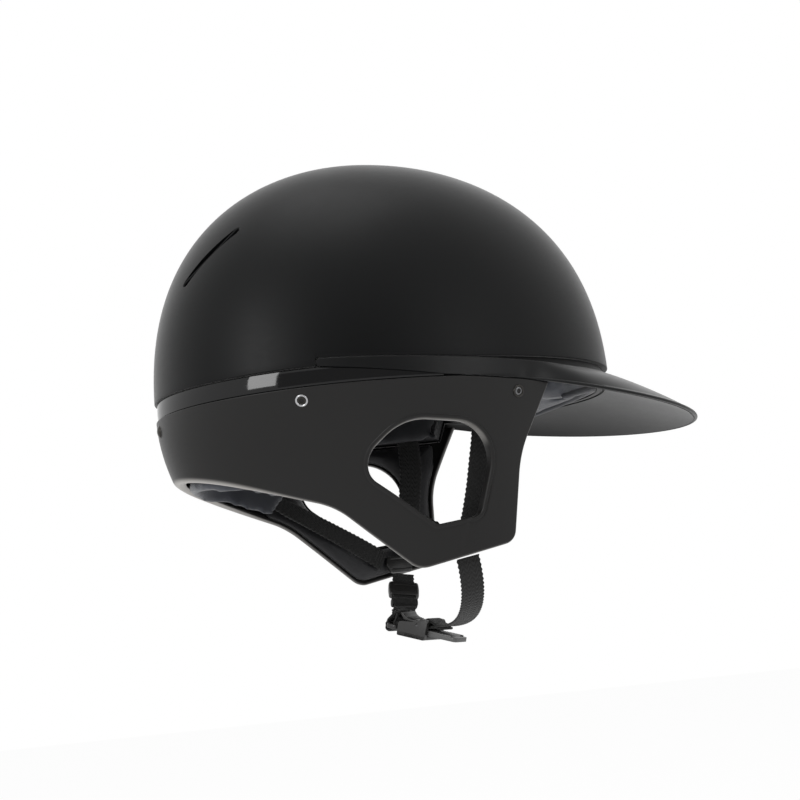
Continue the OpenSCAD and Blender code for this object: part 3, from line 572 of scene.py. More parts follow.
def make_flag():
    """A dark card behind the camera, seen only in reflections, that keeps the polished band dark."""
    ways, low, high, far = (-139.5, -120, -95, -64), -2, 20, 2.6
    mat, t = new_material("flag_card")
    t.nodes.clear()
    dark = emission(t, "ShaderNodeEmission", 0.36)
    clear = put(t, "ShaderNodeBsdfTransparent")
    output(t, "ShaderNodeOutputMaterial", ray_kinds(t, ["Is Glossy Ray"]), clear, dark)
    corners = [toward(a, low, far) for a in ways] + [toward(a, high, far) for a in ways[::-1]]
    stage_card("black_flag", corners, [(0, 1, 6, 7), (1, 2, 5, 6), (2, 3, 4, 5)], mat)


make_floor()
make_flag()
make_world()
softbox("side_softbox", toward(-148.5, 16, 2.6), 0.74, 1.1, 9.0)
softbox("front_softbox", toward(-56, 13, 3.0), 0.6, 0.9, 4.2)
softbox("overhead_softbox", (-0.2, -0.3, 2.2), 1.6, 1.6, 2.4)


# Shell, band and brim
def plan_columns(step=1.5, near=2.4, fine=0.15):
    """Plan angles, closer together where the brim's arms end."""
    a0 = math.degrees(ARM_A)
    base = set(np.round(np.arange(0, 360, step), 4))
    for c in (a0, 360 - a0):
        base = {v for v in base if abs(v - c) > near}
        base |= set(np.round(c + np.arange(-near, near + 0.01, fine), 4))
    return np.radians(sorted(base))


def arm_edge(x):
    """Height of the shell's lower edge: the band's top behind the arms, the arms' seam ahead."""
    gap, back = 0.35, ARM_BACK + 0.4
    seam, low = arm_top(x) + gap, BAND_H + 0.3
    s = np.clip((x + back) / ARM_ROUND, 0, 1)
    curved = np.minimum(seam, arm_top(-ARM_BACK) + gap - arm_round(s))
    return np.where(x < -back, low, np.maximum(low, np.where(s < 1, curved, seam)))


def cutter(points, faces):
    me = bpy.data.meshes.new("cutter")
    me.from_pydata((points * MM).tolist(), [], faces)
    return add("cutter", me)


def vent_frame(side):
    x, z, spin = -99.0, 88.0, math.radians(47)
    return seat_frame(at(x, z, 0, side), out_at(x, z, side), side * spin)


def stadium(length, width, n=14):
    """Outline of a slot with round ends."""
    r, h = width / 2, (length - width) / 2
    t = np.radians(np.linspace(-90, 90, n))
    right = np.stack([h + r * np.cos(t), r * np.sin(t)], -1)
    return np.concatenate([right, -right])


def slot_cutter(side, length, width, deep_in, deep_out):
    pts, faces = prism(stadium(length, width), -deep_in, deep_out, (0, 1, 2))
    return cutter(seated(pts, vent_frame(side)), faces)


def on_crown(q, n):
    """Moves points along n until they lie on the crown's face."""
    def f(v):
        r = np.hypot(v[:, 0] / half_length(v[:, 0]), v[:, 1] / HALF_W)
        return np.maximum(v[:, 2] / CROWN, 1e-6) ** (2 / DOME_P) + r ** (2 / DOME_Q) - 1

    e = 0.01
    for _ in range(12):
        slope = (f(q + n * e) - f(q - n * e)) / (2 * e)
        q = q - n * (f(q) / slope)[:, None]
    return q


def slot_lip(side, r=0.9, deep=6.0):
    """The rolled edge of a vent slot, from the shell's face down its wall."""
    place, turn = vent_frame(side)
    n = turn[:, 2]

    def ring(grow, depth):
        o = stadium(SLOT_L + 2 * grow, SLOT_W + 2 * grow)
        return on_crown(np.c_[o, np.zeros(len(o))] @ turn.T + place, n) - n * depth

    rings = [ring(r * (1 - math.sin(t)), r * (1 - math.cos(t))) for t in np.linspace(0, math.pi / 2, 7)]
    pts = np.array(rings + [ring(0, deep)])
    return pts, grid_faces(*pts.shape[:2], wrap_m=True)


def make_shell():
    a = plan_columns()
    x = face(a, BAND_H)[:, 0]
    full = x > 18
    low = np.where(face(a, -1)[:, 0] > 78, -1.0, -FLANGE_DROP)
    edge = arm_edge(x)
    step_d = np.where(full, REBATE, np.where(x > -ARM_BACK, ARM_T + 0.1, BAND_INSET))
    seat = np.where(full, arm_top(x) - 0.8, BAND_H)
    r = 0.55
    rows = [face(a, low, FLANGE_OUT_LOW), face(a, -0.1, FLANGE_OUT_LOW), face(a, 0.1, REBATE),
            face(a, seat, REBATE), face(a, seat + 0.05, step_d), face(a, edge, np.maximum(step_d, r + 0.1))]
    for t in np.linspace(0, math.pi / 2, 5):
        rows.append(face(a, edge + r * (1 - math.cos(t)), r * (1 - math.sin(t))))
    outer, inner = latitude(edge + r), latitude(edge + 6, SHELL_WALL)
    rows += [crown_point(a, mix(outer, math.pi / 2, (j / 99) ** 0.97), 0.0) for j in range(1, 100)]
    rows += [crown_point(a, mix(inner, math.pi / 2, j / 40), SHELL_WALL) for j in range(40, -1, -1)]
    rows += [face(a, edge + 2, FLANGE_IN), face(a, 0.1, FLANGE_IN), face(a, low, FLANGE_IN)]
    shell = piece("shell", *torus(rows), "shell", merge=2e-6)
    cut(shell, [slot_cutter(s, SLOT_L + 1.8, SLOT_W + 1.8, 20, 20) for s, _ in SIDES], None)
    lips = joined("vent_slot_lips", [slot_lip(s) for s, _ in SIDES], "shell")
    bpy.ops.object.select_all(action="DESELECT")
    for ob in (shell, lips):
        ob.select_set(True)
    bpy.context.view_layer.objects.active = shell
    bpy.ops.object.join()
    shell.data.set_sharp_from_angle(angle=math.radians(38))
    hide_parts("outer_shell")


def make_band():
    a0 = float(angle_at(14.0, 0, REBATE))
    a = np.linspace(a0, 2 * math.pi - a0, 260)
    r = 0.45
    z0, z1 = 0.2, BAND_H - 0.1

    def corner(z, start):
        turns = (math.radians(start + 22.5 * j) for j in range(5))
        return [(z + r * math.sin(t), BAND_INSET + r - r * math.cos(t)) for t in turns]

    # the band's face is faintly crowned between its edges
    mid = [(mix(z0 + r, z1 - r, f), BAND_INSET - 0.22 * math.sin(math.pi * f)) for f in (0.2, 0.4, 0.6, 0.8)]
    back = [(z1, BAND_INSET + BAND_T), (z0, BAND_INSET + BAND_T)]
    loop = corner(z0 + r, -90) + mid + corner(z1 - r, 0) + back
    rings = [[face(t, z, d) for z, d in loop] for t in a]
    piece("trim_band_gloss", *tube(rings), "band", nodes="trim_band", sharp=50)


BRIM_X0, FLARE, BRIM_SLOPE, BRIM_DROOP = 76.8, math.radians(59.5), 0.168, 2.7


def brim_edge(a):
    m = np.abs(a)
    s = np.sign(a)
    t = np.minimum(m / FLARE, 1.6) * math.pi / 2
    x = BRIM_X0 + (BRIM_REACH - BRIM_X0) * np.cos(t)
    y = BRIM_HALF_W * np.sin(t)
    free = np.stack([x, y, -0.3 - BRIM_SLOPE * (x - BRIM_X0) - BRIM_DROOP * (y / 100) ** 2], -1)
    px = face(m, 4)[:, 0]
    on = face(m, arm_low(px), -0.2)
    f = ease((np.degrees(m) - 50) / 20)
    p = mix(free, on, f[:, None])
    return p * np.stack([np.ones_like(s), np.where(s < 0, -1, 1), np.ones_like(s)], -1)


def make_brim():
    end, near = ARM_A + math.radians(0.15), 2.4
    ends = np.radians(np.arange(0, near, 0.12))
    inner = np.linspace(-end + math.radians(near), end - math.radians(near), 230)
    a = np.concatenate([-end + ends, inner, (end - ends)[::-1]])
    m = np.abs(a)
    px = face(m, 8)[:, 0]
    out = 1 - ease((np.degrees(m) - 52) / 18)
    shrink = arm_round(np.clip((px + ARM_BACK) / ARM_ROUND, 0, 1))
    top = arm_top(px) - shrink
    low = np.minimum(arm_low(px) + shrink, top - 0.05)
    seat_d = np.where(px > 26, REBATE - 2 * GAP, ARM_T - 0.1)
    e = brim_edge(a)
    e[:, 2] = np.where(out > 0, e[:, 2], np.maximum(e[:, 2], low))
    up = np.array([0, 0, 1.0])
    ahead = np.stack([np.cos(a), np.sin(a), np.zeros_like(a)], -1)
    # direction square to the edge in plan
    tang = np.gradient(e, axis=0)
    outw = unit(np.stack([tang[:, 1], -tang[:, 0], np.zeros_like(a)], -1))
    outw *= np.sign(np.sum(outw * ahead, -1, keepdims=True))
    # how far each column is plate, and how far it has left the arm
    plate, blade = out[:, None], ease(out * 3)[:, None]
    half, r, lip = BRIM_EDGE / 2, 0.4, 0.25
    lift = half * plate
    centre = e - outw * lift
    bends = np.linspace(0, math.pi / 2, 4)
    loop = [face(a, top - r * (1 - math.cos(t)), r * (1 - math.sin(t))) for t in bends]
    first = loop[-1]
    arm_corner, arm_foot = face(a, low + lip, 0.0), face(a, low, 0.35)
    e_top = mix(arm_corner, centre + up * lift, blade)
    for f in np.linspace(0, 1, 16)[1:]:
        over = mix(first, e_top, f) + up * (1.36 * 4 * f * (1 - f) * plate)
        loop.append(mix(face(a, mix(top - r, low + lip, f), 0.0), over, blade))
    for t in np.linspace(math.pi / 2, -math.pi / 2, 8)[1:-1]:
        tip = centre + outw * (half * math.cos(t) * plate) + up * (math.sin(t) * lift)
        plain = mix(arm_corner, arm_foot, (math.pi / 2 - t) / math.pi)
        loop.append(mix(plain, tip, blade))
    e_low = mix(arm_foot, centre - up * lift, blade)
    loop.append(e_low)
    # a fine step runs round under the edge, where the lower skin is let in
    for back, rise in ((0.5, 0.0), (0.8, 0.55), (1.5, 0.6), (1.8, 0.15)):
        loop.append(e_low - outw * (back * plate) + up * (rise * plate))
    seat_low = face(a, low, np.maximum(seat_d, 0.4))
    root = mix(face(a, mix(low, top, 0.35), seat_d), face(a, 0, REBATE - 2 * GAP) - [0, 0, 1.4], plate)
    last = loop[-1]
    for f in np.linspace(0, 1, 12)[1:]:
        under = mix(last, root, f) + up * (0.9 * 4 * f * (1 - f) * plate)
        plain = mix(last, mix(seat_low, root, f), min(1, 3 * f))
        loop.append(mix(plain, under, blade))
    loop.append(face(a, top - 0.1, seat_d))
    rings = np.array(loop).transpose(1, 0, 2)
    piece("brim_plate", *tube(rings), "brim", nodes="brim", sharp=40)


# Flat outlines
def rounded(points, n=14):
    """A closed outline whose corners are arcs: each point is x, z, radius."""
    out = []
    c = len(points)
    for i, (px, pz, r) in enumerate(points):
        p = np.array([px, pz])
        if r == 0:
            out.append(p)
            continue
        a, b = np.array(points[i - 1][:2]), np.array(points[(i + 1) % c][:2])
        u, v = unit(a - p), unit(b - p)
        turn = math.acos(np.clip(u @ v, -1, 1)) / 2
        bis = unit(u + v)
        centre = p + bis * r / math.sin(turn)
        sweep = math.pi / 2 - turn
        mid = math.atan2(-bis[1], -bis[0])
        way = -1 if u[0] * v[1] - u[1] * v[0] > 0 else 1
        for j in range(n + 1):
            g = mid - way * sweep + way * 2 * sweep * j / n
            out.append(centre + r * np.array([math.cos(g), math.sin(g)]))
    return np.array(out)


def dense(line, step, closed=False):
    """Points at even steps along a polyline."""
    p = np.asarray(line, float)
    if closed:
        p = np.concatenate([p, p[:1]])
    p = p[np.concatenate([[True], np.linalg.norm(np.diff(p, axis=0), axis=1) > 1e-6])]
    s = run_of(p)
    n = max(2, int(round(s[-1] / step)) + 1)
    q = sampled(np.linspace(0, s[-1], n), s, p)
    return q[:-1] if closed else q


def to_lines(q, line, closed=False):
    """Distance from points to a polyline, in its own plane."""
    p = np.asarray(line, float)
    if closed:
        p = np.concatenate([p, p[:1]])
    best = np.full(len(q), 1e9)
    for a, b in zip(p[:-1], p[1:]):
        d = b - a
        t = np.clip(((q - a) @ d) / max(d @ d, 1e-12), 0, 1)
        best = np.minimum(best, np.hypot(*(q - a - t[:, None] * d).T))
    return best


def inside(q, poly):
    x, y = q[:, 0], q[:, 1]
    c = np.zeros(len(q), bool)
    p = np.asarray(poly)
    for (x0, y0), (x1, y1) in zip(p, np.roll(p, -1, 0)):
        hit = (y0 > y) != (y1 > y)
        with np.errstate(divide="ignore", invalid="ignore"):
            xi = (x1 - x0) * (y - y0) / (y1 - y0) + x0
        c ^= hit & (x < xi)
    return c


def inset(poly, d):
    """Moves a closed outline d to its left, along the mean normals of its points."""
    p = np.asarray(poly, float)
    t = unit(np.roll(p, -1, 0) - np.roll(p, 1, 0))
    return p + d * np.stack([-t[:, 1], t[:, 0]], -1)


def area_of(poly):
    p = np.asarray(poly)
    q = np.roll(p, -1, 0)
    return 0.5 * np.sum(p[:, 0] * q[:, 1] - q[:, 0] * p[:, 1])


def turned(poly, positive):
    """The outline run anticlockwise if positive, else clockwise."""
    return poly if (area_of(poly) > 0) == positive else poly[::-1]


def rounded_box(x0, y0, x1, y1, r, n):
    return rounded([(x0, y0, r), (x1, y0, r), (x1, y1, r), (x0, y1, r)], n)


# Measure round the helmet at the guard's middle height, so that its skin can be cut as a flat pattern
ROUND_A = np.radians(np.linspace(40, 180, 1400))
ROUND_S = run_of(face(ROUND_A, -35.0, 2.0))
ROUND_S = ROUND_S[-1] - ROUND_S


def flat_of(a):
    """Flat measure of a plan angle from the front, positive on the left: 0 at the rear's middle."""
    return np.interp(a, ROUND_A, ROUND_S)


def angle_of(s):
    return np.interp(-np.abs(s), -ROUND_S, ROUND_A)


def on_skin(q, d):
    """Points of the flat pattern (s, z) on the helmet's face, d inside it."""
    p = face(angle_of(q[:, 0]), q[:, 1], d)
    p[:, 1] *= np.where(q[:, 0] < 0, -1, 1)
    return p


def flat_line(points, d=GUARD_OUT):
    """Side view points (x, z) as flat measure, on the left side."""
    p = np.asarray(points)
    return np.stack([flat_of(angle_at(p[:, 0], p[:, 1], d)), p[:, 1]], -1)


def left_half(q):
    """Points of the flat pattern as their places on its left half."""
    return np.stack([np.abs(q[:, 0]), q[:, 1]], -1)


TIP_X = 1.5
SEAM_BEND, SEAM_END = (24, -GAP), (83.4, -3.8)
LOW_REAR, LOW_BEND = (-150, -29.8), (-44, -64.5)
LOW_SLOPE = (LOW_REAR[1] - LOW_BEND[1]) / (LOW_REAR[0] - LOW_BEND[0])
GUARD_CORNERS = [(-150, -GAP, 0), (*SEAM_BEND, 0), (*SEAM_END, 0), (62.6, -43, 60),
                 (57.7, 11.4 - GUARD_DEPTH, 8), (TIP_X, -GUARD_DEPTH, 12), (*LOW_BEND, 50), (*LOW_REAR, 0)]
EAR_CORNERS = [(-34.6, -44.2, 13), (-9, -20.8, 30), (48, -27.2, 23), (35.4, -77, 6), (10.5, -80, 2.5)]


def guard_side_lines(step=1.2):
    """Left half of the guard's flat outline: top seam, front edge with tip, and lower edge to the rear."""
    top = dense([(-60, -GAP), SEAM_BEND, SEAM_END], step)
    seam = np.concatenate([[[0.0, -GAP]], flat_line(top)])
    low = rounded(GUARD_CORNERS)[3:]
    low = dense(low[low[:, 0] > -149], step)
    low = low[low[:, 0] > -108]
    line = flat_line(np.concatenate([[SEAM_END], low]))
    rear = []
    for a in np.linspace(float(angle_of(line[-1:, 0])[0]), math.pi, 60)[1:]:
        z = line[-1, 1]
        for _ in range(20):
            x = float(face(a, z, GUARD_OUT)[0])
            z = mix(z, low[-1, 1] + LOW_SLOPE * (x - low[-1, 0]), 0.7)
        rear.append((float(flat_of(a)), z))
    return seam, np.concatenate([line, rear])


def hexagons(lo, hi, step):
    """Points of a triangular grid over a rectangle."""
    rows, h = [], step * math.sqrt(3) / 2
    for i, z in enumerate(np.arange(lo[1], hi[1] + h, h)):
        x = np.arange(lo[0] - (i % 2) * step / 2, hi[0] + step, step)
        rows.append(np.stack([x, np.full(len(x), z)], -1))
    return np.concatenate(rows)


def within(q, outline, holes):
    keep = inside(q, outline)
    for hole in holes:
        keep &= ~inside(q, hole)
    return keep


def cut_skin(name, outline, holes, heights, step, mat, rings, painted_highlight=None, **kw):
    """A skin with two faces over a flat pattern. heights(q) gives the outer and inner depth at each point."""
    outline = turned(outline, True)
    holes = [turned(h, False) for h in holes]
    loops = [outline] + holes
    pts, edges, n = [], [], 0
    for loop in loops:
        m = len(loop)
        edges += [(n + j, n + (j + 1) % m) for j in range(m)]
        pts += [loop] + [inset(loop, d) for d in rings]
        n += m * (len(rings) + 1)
    inner = hexagons(outline.min(0), outline.max(0), step)
    inner = inner[within(inner, outline, holes)]
    clear = np.min([to_lines(inner, loop, True) for loop in loops], axis=0)
    pts.append(inner[clear > max(rings) + 0.45 * step])
    found = delaunay_2d_cdt([Vector(v) for v in np.concatenate(pts)], edges, [], 0, 1e-5)
    q = np.array([tuple(v) for v in found[0]])
    f = np.array([list(t) for t in found[2] if len(t) == 3])
    f = f[within(q[f].mean(1), outline, holes)]
    n = len(q)
    sides = dict.fromkeys((t[i], t[(i + 1) % 3]) for t in f for i in range(3))
    rim = [[b, a, a + n, b + n] for a, b in sides if (b, a) not in sides]
    faces = [list(t) for t in f] + [[t[0] + n, t[2] + n, t[1] + n] for t in f] + rim
    # the first UV value carries a painted highlight mask for the material's edge colour
    if painted_highlight:
        kw["uv"] = np.tile(np.stack([painted_highlight(q), np.zeros(n)], -1), (2, 1))
    d_out, d_in = heights(q)
    return piece(name, np.concatenate([on_skin(q, d_out), on_skin(q, d_in)]), faces, mat, **kw)


def roll(delta, r):
    """How far a rounded edge of radius r falls away at a distance from the outline."""
    t = np.clip(1 - delta / r, 0, 1)
    return r * (1 - np.sqrt(np.maximum(0, 1 - t ** 2.0)))


# Lower guard
def make_guard():
    seam, line = guard_side_lines()
    mirror = np.array([-1, 1])
    # the left side runs forwards on the seam and back on the lower edge, and the right side mirrors it
    left = np.concatenate([seam, line[1:]])
    outline = dense(np.concatenate([left, (left * mirror)[::-1][1:-1]]), 1.25, True)
    ear = dense(flat_line(rounded(EAR_CORNERS)), 0.9, True)
    seam_all = np.concatenate([(seam * mirror)[::-1], seam])
    chin = flat_line([(30.5, -78), (24.5, -102)])

    def edges(q):
        """Place on the left half, distance to lower edge and ear opening, and 1 at the rear, 0 ahead."""
        side = left_half(q)
        return side, to_lines(side, line), to_lines(side, ear, True), ease((130 - side[:, 0]) / 90)

    def heights(q):
        side, dl, de, rear = edges(q)
        ds = to_lines(q, seam_all)
        d_out = GUARD_OUT + roll(ds, 0.5) + roll(dl, mix(1.5, 3.3, rear)) + roll(de, 1.3)
        d_in = GUARD_IN - roll(ds, 0.5) - roll(dl, 1.5) - roll(de, 0.9)
        # a bead inside the lower edge, strongest at the rear, and one round the ear opening
        bead = np.exp(-(np.maximum(dl - 1.2, 0) / 1.7) ** 2) * ease(dl / 1.2 + 0.4)
        d_in = d_in + mix(0.9, 3.4, rear) * bead
        d_in = d_in + 1.4 * np.exp(-(np.maximum(de - 0.8, 0) / 1.2) ** 2)
        # raised lip round the ear opening, with a fine step outside it
        d_out = d_out - 0.55 * (1 - ease((de - 2.0) / 0.45)) * ease(de / 0.9 + 0.5)
        d_out = d_out + 0.28 * np.exp(-((de - 2.9) / 0.35) ** 2)
        # soft crease where the guard turns under the cheek
        return d_out + 0.8 * np.exp(-(to_lines(side, chin) / 2.2) ** 2), d_in

    # painted highlight: pale along the lower edge, widest at the rear, and a thin pale line along the upper
    # edges of the ear openings
    def painted_highlight(q):
        _, dl, de, rear = edges(q)
        lip = (1 - ease(dl / mix(1.1, 3.6, rear ** 2))) * mix(0.3, 1.0, rear)
        return np.maximum(lip, 0.36 * (1 - ease(de / 0.9)) * ease((q[:, 1] + 40) / 8))

    # rings follow the outline where its edge, lip and step turn
    rings = (0.08, 0.3, 0.7, 1.15, 1.6, 2.05, 2.5, 2.9, 3.4, 4.4)
    cut_skin("lower_guard_moulding", outline, [ear, ear * mirror], heights, 2.6, "guard", rings, painted_highlight,
             nodes="lower_guard", sharp=55)


# Places and simple forms
def seat_frame(place, direction, spin=0.0):
    """Turn matrix of a piece whose own Z lies along a direction, as the part's source seats it."""
    n = unit(direction)
    theta, phi = math.acos(n[2]), math.atan2(n[1], n[0])
    turn = Matrix.Rotation(phi, 3, "Z") @ Matrix.Rotation(theta, 3, "Y") @ Matrix.Rotation(spin, 3, "Z")
    return np.asarray(place, float), np.array(turn)


def seated(points, frame_):
    p, turn = frame_
    return np.asarray(points, float) @ turn.T + p


def box_cutter(lo, hi, frame_):
    c = np.array([[x, y, z] for x in (lo[0], hi[0]) for y in (lo[1], hi[1]) for z in (lo[2], hi[2])], float)
    faces = [(0, 1, 3, 2), (4, 6, 7, 5), (0, 4, 5, 1), (2, 3, 7, 6), (0, 2, 6, 4), (1, 5, 7, 3)]
    return cutter(seated(c, frame_), faces)


def lathe(profile, n=48, shape=None):
    """A turned form from radius and height pairs. shape(angles, i, radius) may change a row's radius."""
    t = np.linspace(0, 2 * math.pi, n, endpoint=False)
    rows = []
    for i, (r, z) in enumerate(profile):
        r = shape(t, i, r) if shape else np.full(n, r)
        rows.append(np.stack([r * np.cos(t), r * np.sin(t), np.full(n, z)], -1))
    return np.array(rows).reshape(-1, 3), tube_faces(len(profile), n)


def prism(outline, y0, y1, axes=(0, 2, 1)):
    """An outline of the plane of two axes drawn out along the third."""
    o = np.asarray(outline, float)
    n = len(o)
    pts = np.zeros((2 * n, 3))
    for k, y in enumerate((y0, y1)):
        pts[k * n:(k + 1) * n, axes[0]] = o[:, 0]
        pts[k * n:(k + 1) * n, axes[1]] = o[:, 1]
        pts[k * n:(k + 1) * n, axes[2]] = y
    faces = [[i, (i + 1) % n, n + (i + 1) % n, n + i] for i in range(n)]
    return pts, faces + [list(range(n))[::-1], list(range(n, 2 * n))]


def block(lo, hi):
    return prism([(lo[0], lo[2]), (hi[0], lo[2]), (hi[0], hi[2]), (lo[0], hi[2])], lo[1], hi[1])


def catmull(points, n, closed=False):
    """A smooth line through points, n samples to each span."""
    p = np.asarray(points, float)
    if closed:
        q = np.concatenate([p[-1:], p, p[:2]])
    else:
        q = np.concatenate([2 * p[:1] - p[1:2], p, 2 * p[-1:] - p[-2:-1]])
    out = []
    for a, b, c, d in zip(q[:-3], q[1:-2], q[2:-1], q[3:]):
        for t in np.arange(n) / n:
            bend = (2 * a - 5 * b + 4 * c - d) * t * t + (3 * b - a - 3 * c + d) * t ** 3
            out.append(0.5 * (2 * b + (c - a) * t + bend))
    if not closed:
        out.append(q[-2])
    return np.array(out)


# Linings inside the guard
def soft_loop(loop, passes):
    q = np.asarray(loop, float)
    for _ in range(passes):
        q = 0.25 * np.roll(q, 1, 0) + 0.5 * q + 0.25 * np.roll(q, -1, 0)
    return q


def lining_outline():
    _, line = guard_side_lines(0.8)
    t = unit(np.gradient(line, axis=0))
    q = line + LINING_MARGIN * np.stack([t[:, 1], -t[:, 0]], -1)
    q = q[to_lines(q, line) > LINING_MARGIN - 0.1]
    s_rear, s_front = float(flat_of(math.radians(121))), float(flat_of(math.radians(58)))
    q = q[(q[:, 1] < -FLANGE_DROP - 1.4) & (q[:, 0] > s_rear) & (q[:, 0] < s_front)]
    top = -FLANGE_DROP - 1.2
    loop = np.concatenate([q, [[s_rear + 0.2, q[-1, 1]], [s_rear + 0.2, top], [q[0, 0], top]]])
    return soft_loop(dense(loop, 1.1, True), 5)


def make_lining(side, name):
    mirror = np.array([side, 1])
    outline = lining_outline()
    ear = dense(flat_line(rounded(EAR_CORNERS)), 1.1, True)
    hole = soft_loop(inset(turned(ear, True), -(LINING_MARGIN - 1)), 2)

    def heights(q):
        flat = left_half(q)
        de = np.minimum(to_lines(flat, outline, True), to_lines(flat, hole, True))
        c = np.clip(de / 16, 0, 1)
        fill = 0.5 + (LINING_T + 0.5) * np.sqrt(np.maximum(0, 1 - (1 - c) ** 2))
        wave = 0.14 * np.sin(q[:, 0] * 0.16 + 0.6 * np.sin(q[:, 1] * 0.13)) * np.sin(q[:, 1] * 0.12)
        d_out = LINING_OUT + roll(de, 0.4)
        return d_out, np.maximum(LINING_OUT + fill + wave * c, d_out + 0.3)

    rings = (0.1, 0.3, 0.6, 1.0, 1.5, 2.1, 2.9, 3.9, 5.2)
    node = f"guard_lining_{name}"
    ob = cut_skin(node + "_cloth", outline * mirror, [hole * mirror], heights, 2.4, "lining", rings,
                  nodes=node, sharp=70)


# Foam liner
LINER_SPLIT, LINER_EDGE = 46.0, 1.3


def make_liner_ring():
    a = np.radians(np.arange(0, 360, 2.0))
    c = LINER_EDGE
    x = face(a, BAND_H)[:, 0]
    low = np.where(x > 78, LINER_FRONT_LOW, -LINER_DROP)
    ledge = np.where(x > -ARM_BACK, np.maximum(arm_top(x), BAND_H + 0.3), BAND_H + 0.3)
    top = LINER_SPLIT - GAP / 2
    rows = [face(a, low, LINER_OUT_LOW + c), face(a, low + c, LINER_OUT_LOW),
            face(a, np.maximum(0.1, low + c + 0.1), LINER_OUT_LOW), face(a, ledge + 0.8, LINER_OUT_LOW)]
    rows += [face(a, mix(ledge + 5, top - c, f), LINER_OUT) for f in np.linspace(0, 1, 7)]
    rows += [face(a, top, LINER_OUT + c), face(a, top, LINER_IN - c),
             face(a, top - 0.4 * c, LINER_IN - 0.4 * c)]
    rows += [face(a, np.maximum(z, low + c + 0.1), LINER_IN) for z in np.linspace(top - c, 0.1, 12)]
    rows += [face(a, low + c, LINER_IN), face(a, low + 0.4 * c, LINER_IN - 0.4 * c),
             face(a, low, LINER_IN - c)]
    ring = piece("foam_liner_ring", *torus(rows), "foam", nodes="foam_liner", merge=2e-6)
    cuts = []
    for side in (-1, 1):
        for (px, pz), lean in ((FRONT_ANCHOR, 0.0), (REAR_ANCHOR, REAR_LEAN)):
            f = seat_frame(at(px, pz, CHANNEL_D, side), out_at(px, pz, side), -side * math.radians(lean))
            cuts.append(box_cutter((-11, -(WEB_W + 5) / 2, -12), (29, (WEB_W + 5) / 2, 0), f))
    cut(ring, cuts, 30)


def make_liner_crown():
    a = np.radians(np.arange(0, 360, 2.0))
    c, bottom = LINER_EDGE, LINER_SPLIT + GAP / 2

    def dome(d, n):
        low = float(latitude(bottom + c, d))
        return [crown_point(a, mix(low, math.pi / 2, f), d) for f in np.linspace(0, 1, n)]

    out = [face(a, bottom, LINER_OUT + c)] + dome(LINER_OUT, 40)
    inn = [face(a, bottom, LINER_IN - c), face(a, bottom + 0.4 * c, LINER_IN - 0.4 * c)] + dome(LINER_IN, 36)
    pts = np.array(out[::-1] + inn)
    faces = grid_faces(*pts.shape[:2], wrap_m=True)
    crown = piece("foam_liner_crown", pts, faces, "foam", nodes="foam_crown", merge=2e-6)
    cut(crown, [slot_cutter(s, SLOT_L - 5, SLOT_W + 4, 42, 20) for s, _ in SIDES], 30)


# Pads
def plan_of(p, d):
    """Plan angle of points at about the depth d."""
    return np.arctan2(p[:, 1] / (HALF_W - d), p[:, 0] / half_length(p[:, 0], d))


def depth_of(p, d):
    """How far points lie inside the helmet's face, found beside the depth d."""
    a = plan_of(p, d)
    q = face(a, p[:, 2], d)
    return d + np.hypot(q[:, 0], q[:, 1]) - np.hypot(p[:, 0], p[:, 1])


def inflate(ob, held, cap, voxel=3.2):
    """Swells a pad as a cloth bag. held(p) is 1 where it is sewn or backed; it moves cap mm at most."""
    pressure, frames = 5.0, 18
    m = ob.modifiers.new("remesh", "REMESH")
    m.mode, m.voxel_size = "VOXEL", voxel * MM
    apply_modifiers(ob)
    me = ob.data
    n = len(me.vertices)
    rest = np.zeros(n * 3)
    me.vertices.foreach_get("co", rest)
    rest = rest.reshape(-1, 3)
    pin = np.clip(held(rest / MM), 0, 1)
    group = ob.vertex_groups.new(name="pin")
    for w in np.unique(np.round(pin, 1)):
        idx = np.nonzero(np.round(pin, 1) == w)[0].tolist()
        if w > 0:
            group.add(idx, float(w), "REPLACE")
    c = ob.modifiers.new("cloth", "CLOTH")
    s = c.settings
    s.quality = 5
    s.mass = 0.25
    s.tension_stiffness = s.compression_stiffness = 6
    s.shear_stiffness = 3
    s.bending_stiffness = 0.2
    s.use_pressure = True
    s.uniform_pressure_force = pressure
    s.vertex_group_mass = "pin"
    s.pin_stiffness = 4
    s.effector_weights.gravity = 0
    c.point_cache.frame_start, c.point_cache.frame_end = 1, frames
    for fr in range(1, frames + 1):
        scene.frame_set(fr)
    dg = bpy.context.evaluated_depsgraph_get()
    res = ob.evaluated_get(dg).to_mesh()
    new = np.zeros(n * 3)
    res.vertices.foreach_get("co", new)
    new = new.reshape(-1, 3)
    ob.evaluated_get(dg).to_mesh_clear()
    ob.modifiers.clear()
    ob.vertex_groups.clear()
    scene.frame_set(1)
    move = new - rest
    far = np.linalg.norm(move, axis=1)
    limit = cap * MM * (1 - 0.97 * pin)
    move *= np.minimum(1, limit / np.maximum(far, 1e-9))[:, None]
    me.vertices.foreach_set("co", (rest + move).ravel())
    me.update()
    sm = ob.modifiers.new("smooth", "SMOOTH")
    sm.factor, sm.iterations = 0.5, 3
    sub = ob.modifiers.new("sub", "SUBSURF")
    sub.levels = sub.render_levels = 1
    apply_modifiers(ob)
    smooth(ob)


def near_lines(v, lines, width):
    """1 on any of the values in lines, falling to 0 at width."""
    out = np.zeros(len(v))
    for w in lines:
        out = np.maximum(out, 1 - np.clip(np.abs(v - w) / width, 0, 1))
    return ease(out)


def pad_body(name, loops, nodes, held, cap, mat="pad", **kw):
    ob = piece(name, *tube(loops), mat, nodes=nodes, slot="pad")
    inflate(ob, held, cap, **kw)


def end_taper(u, power):
    return np.sqrt(np.maximum(0, 1 - np.abs(2 * u - 1) ** power))


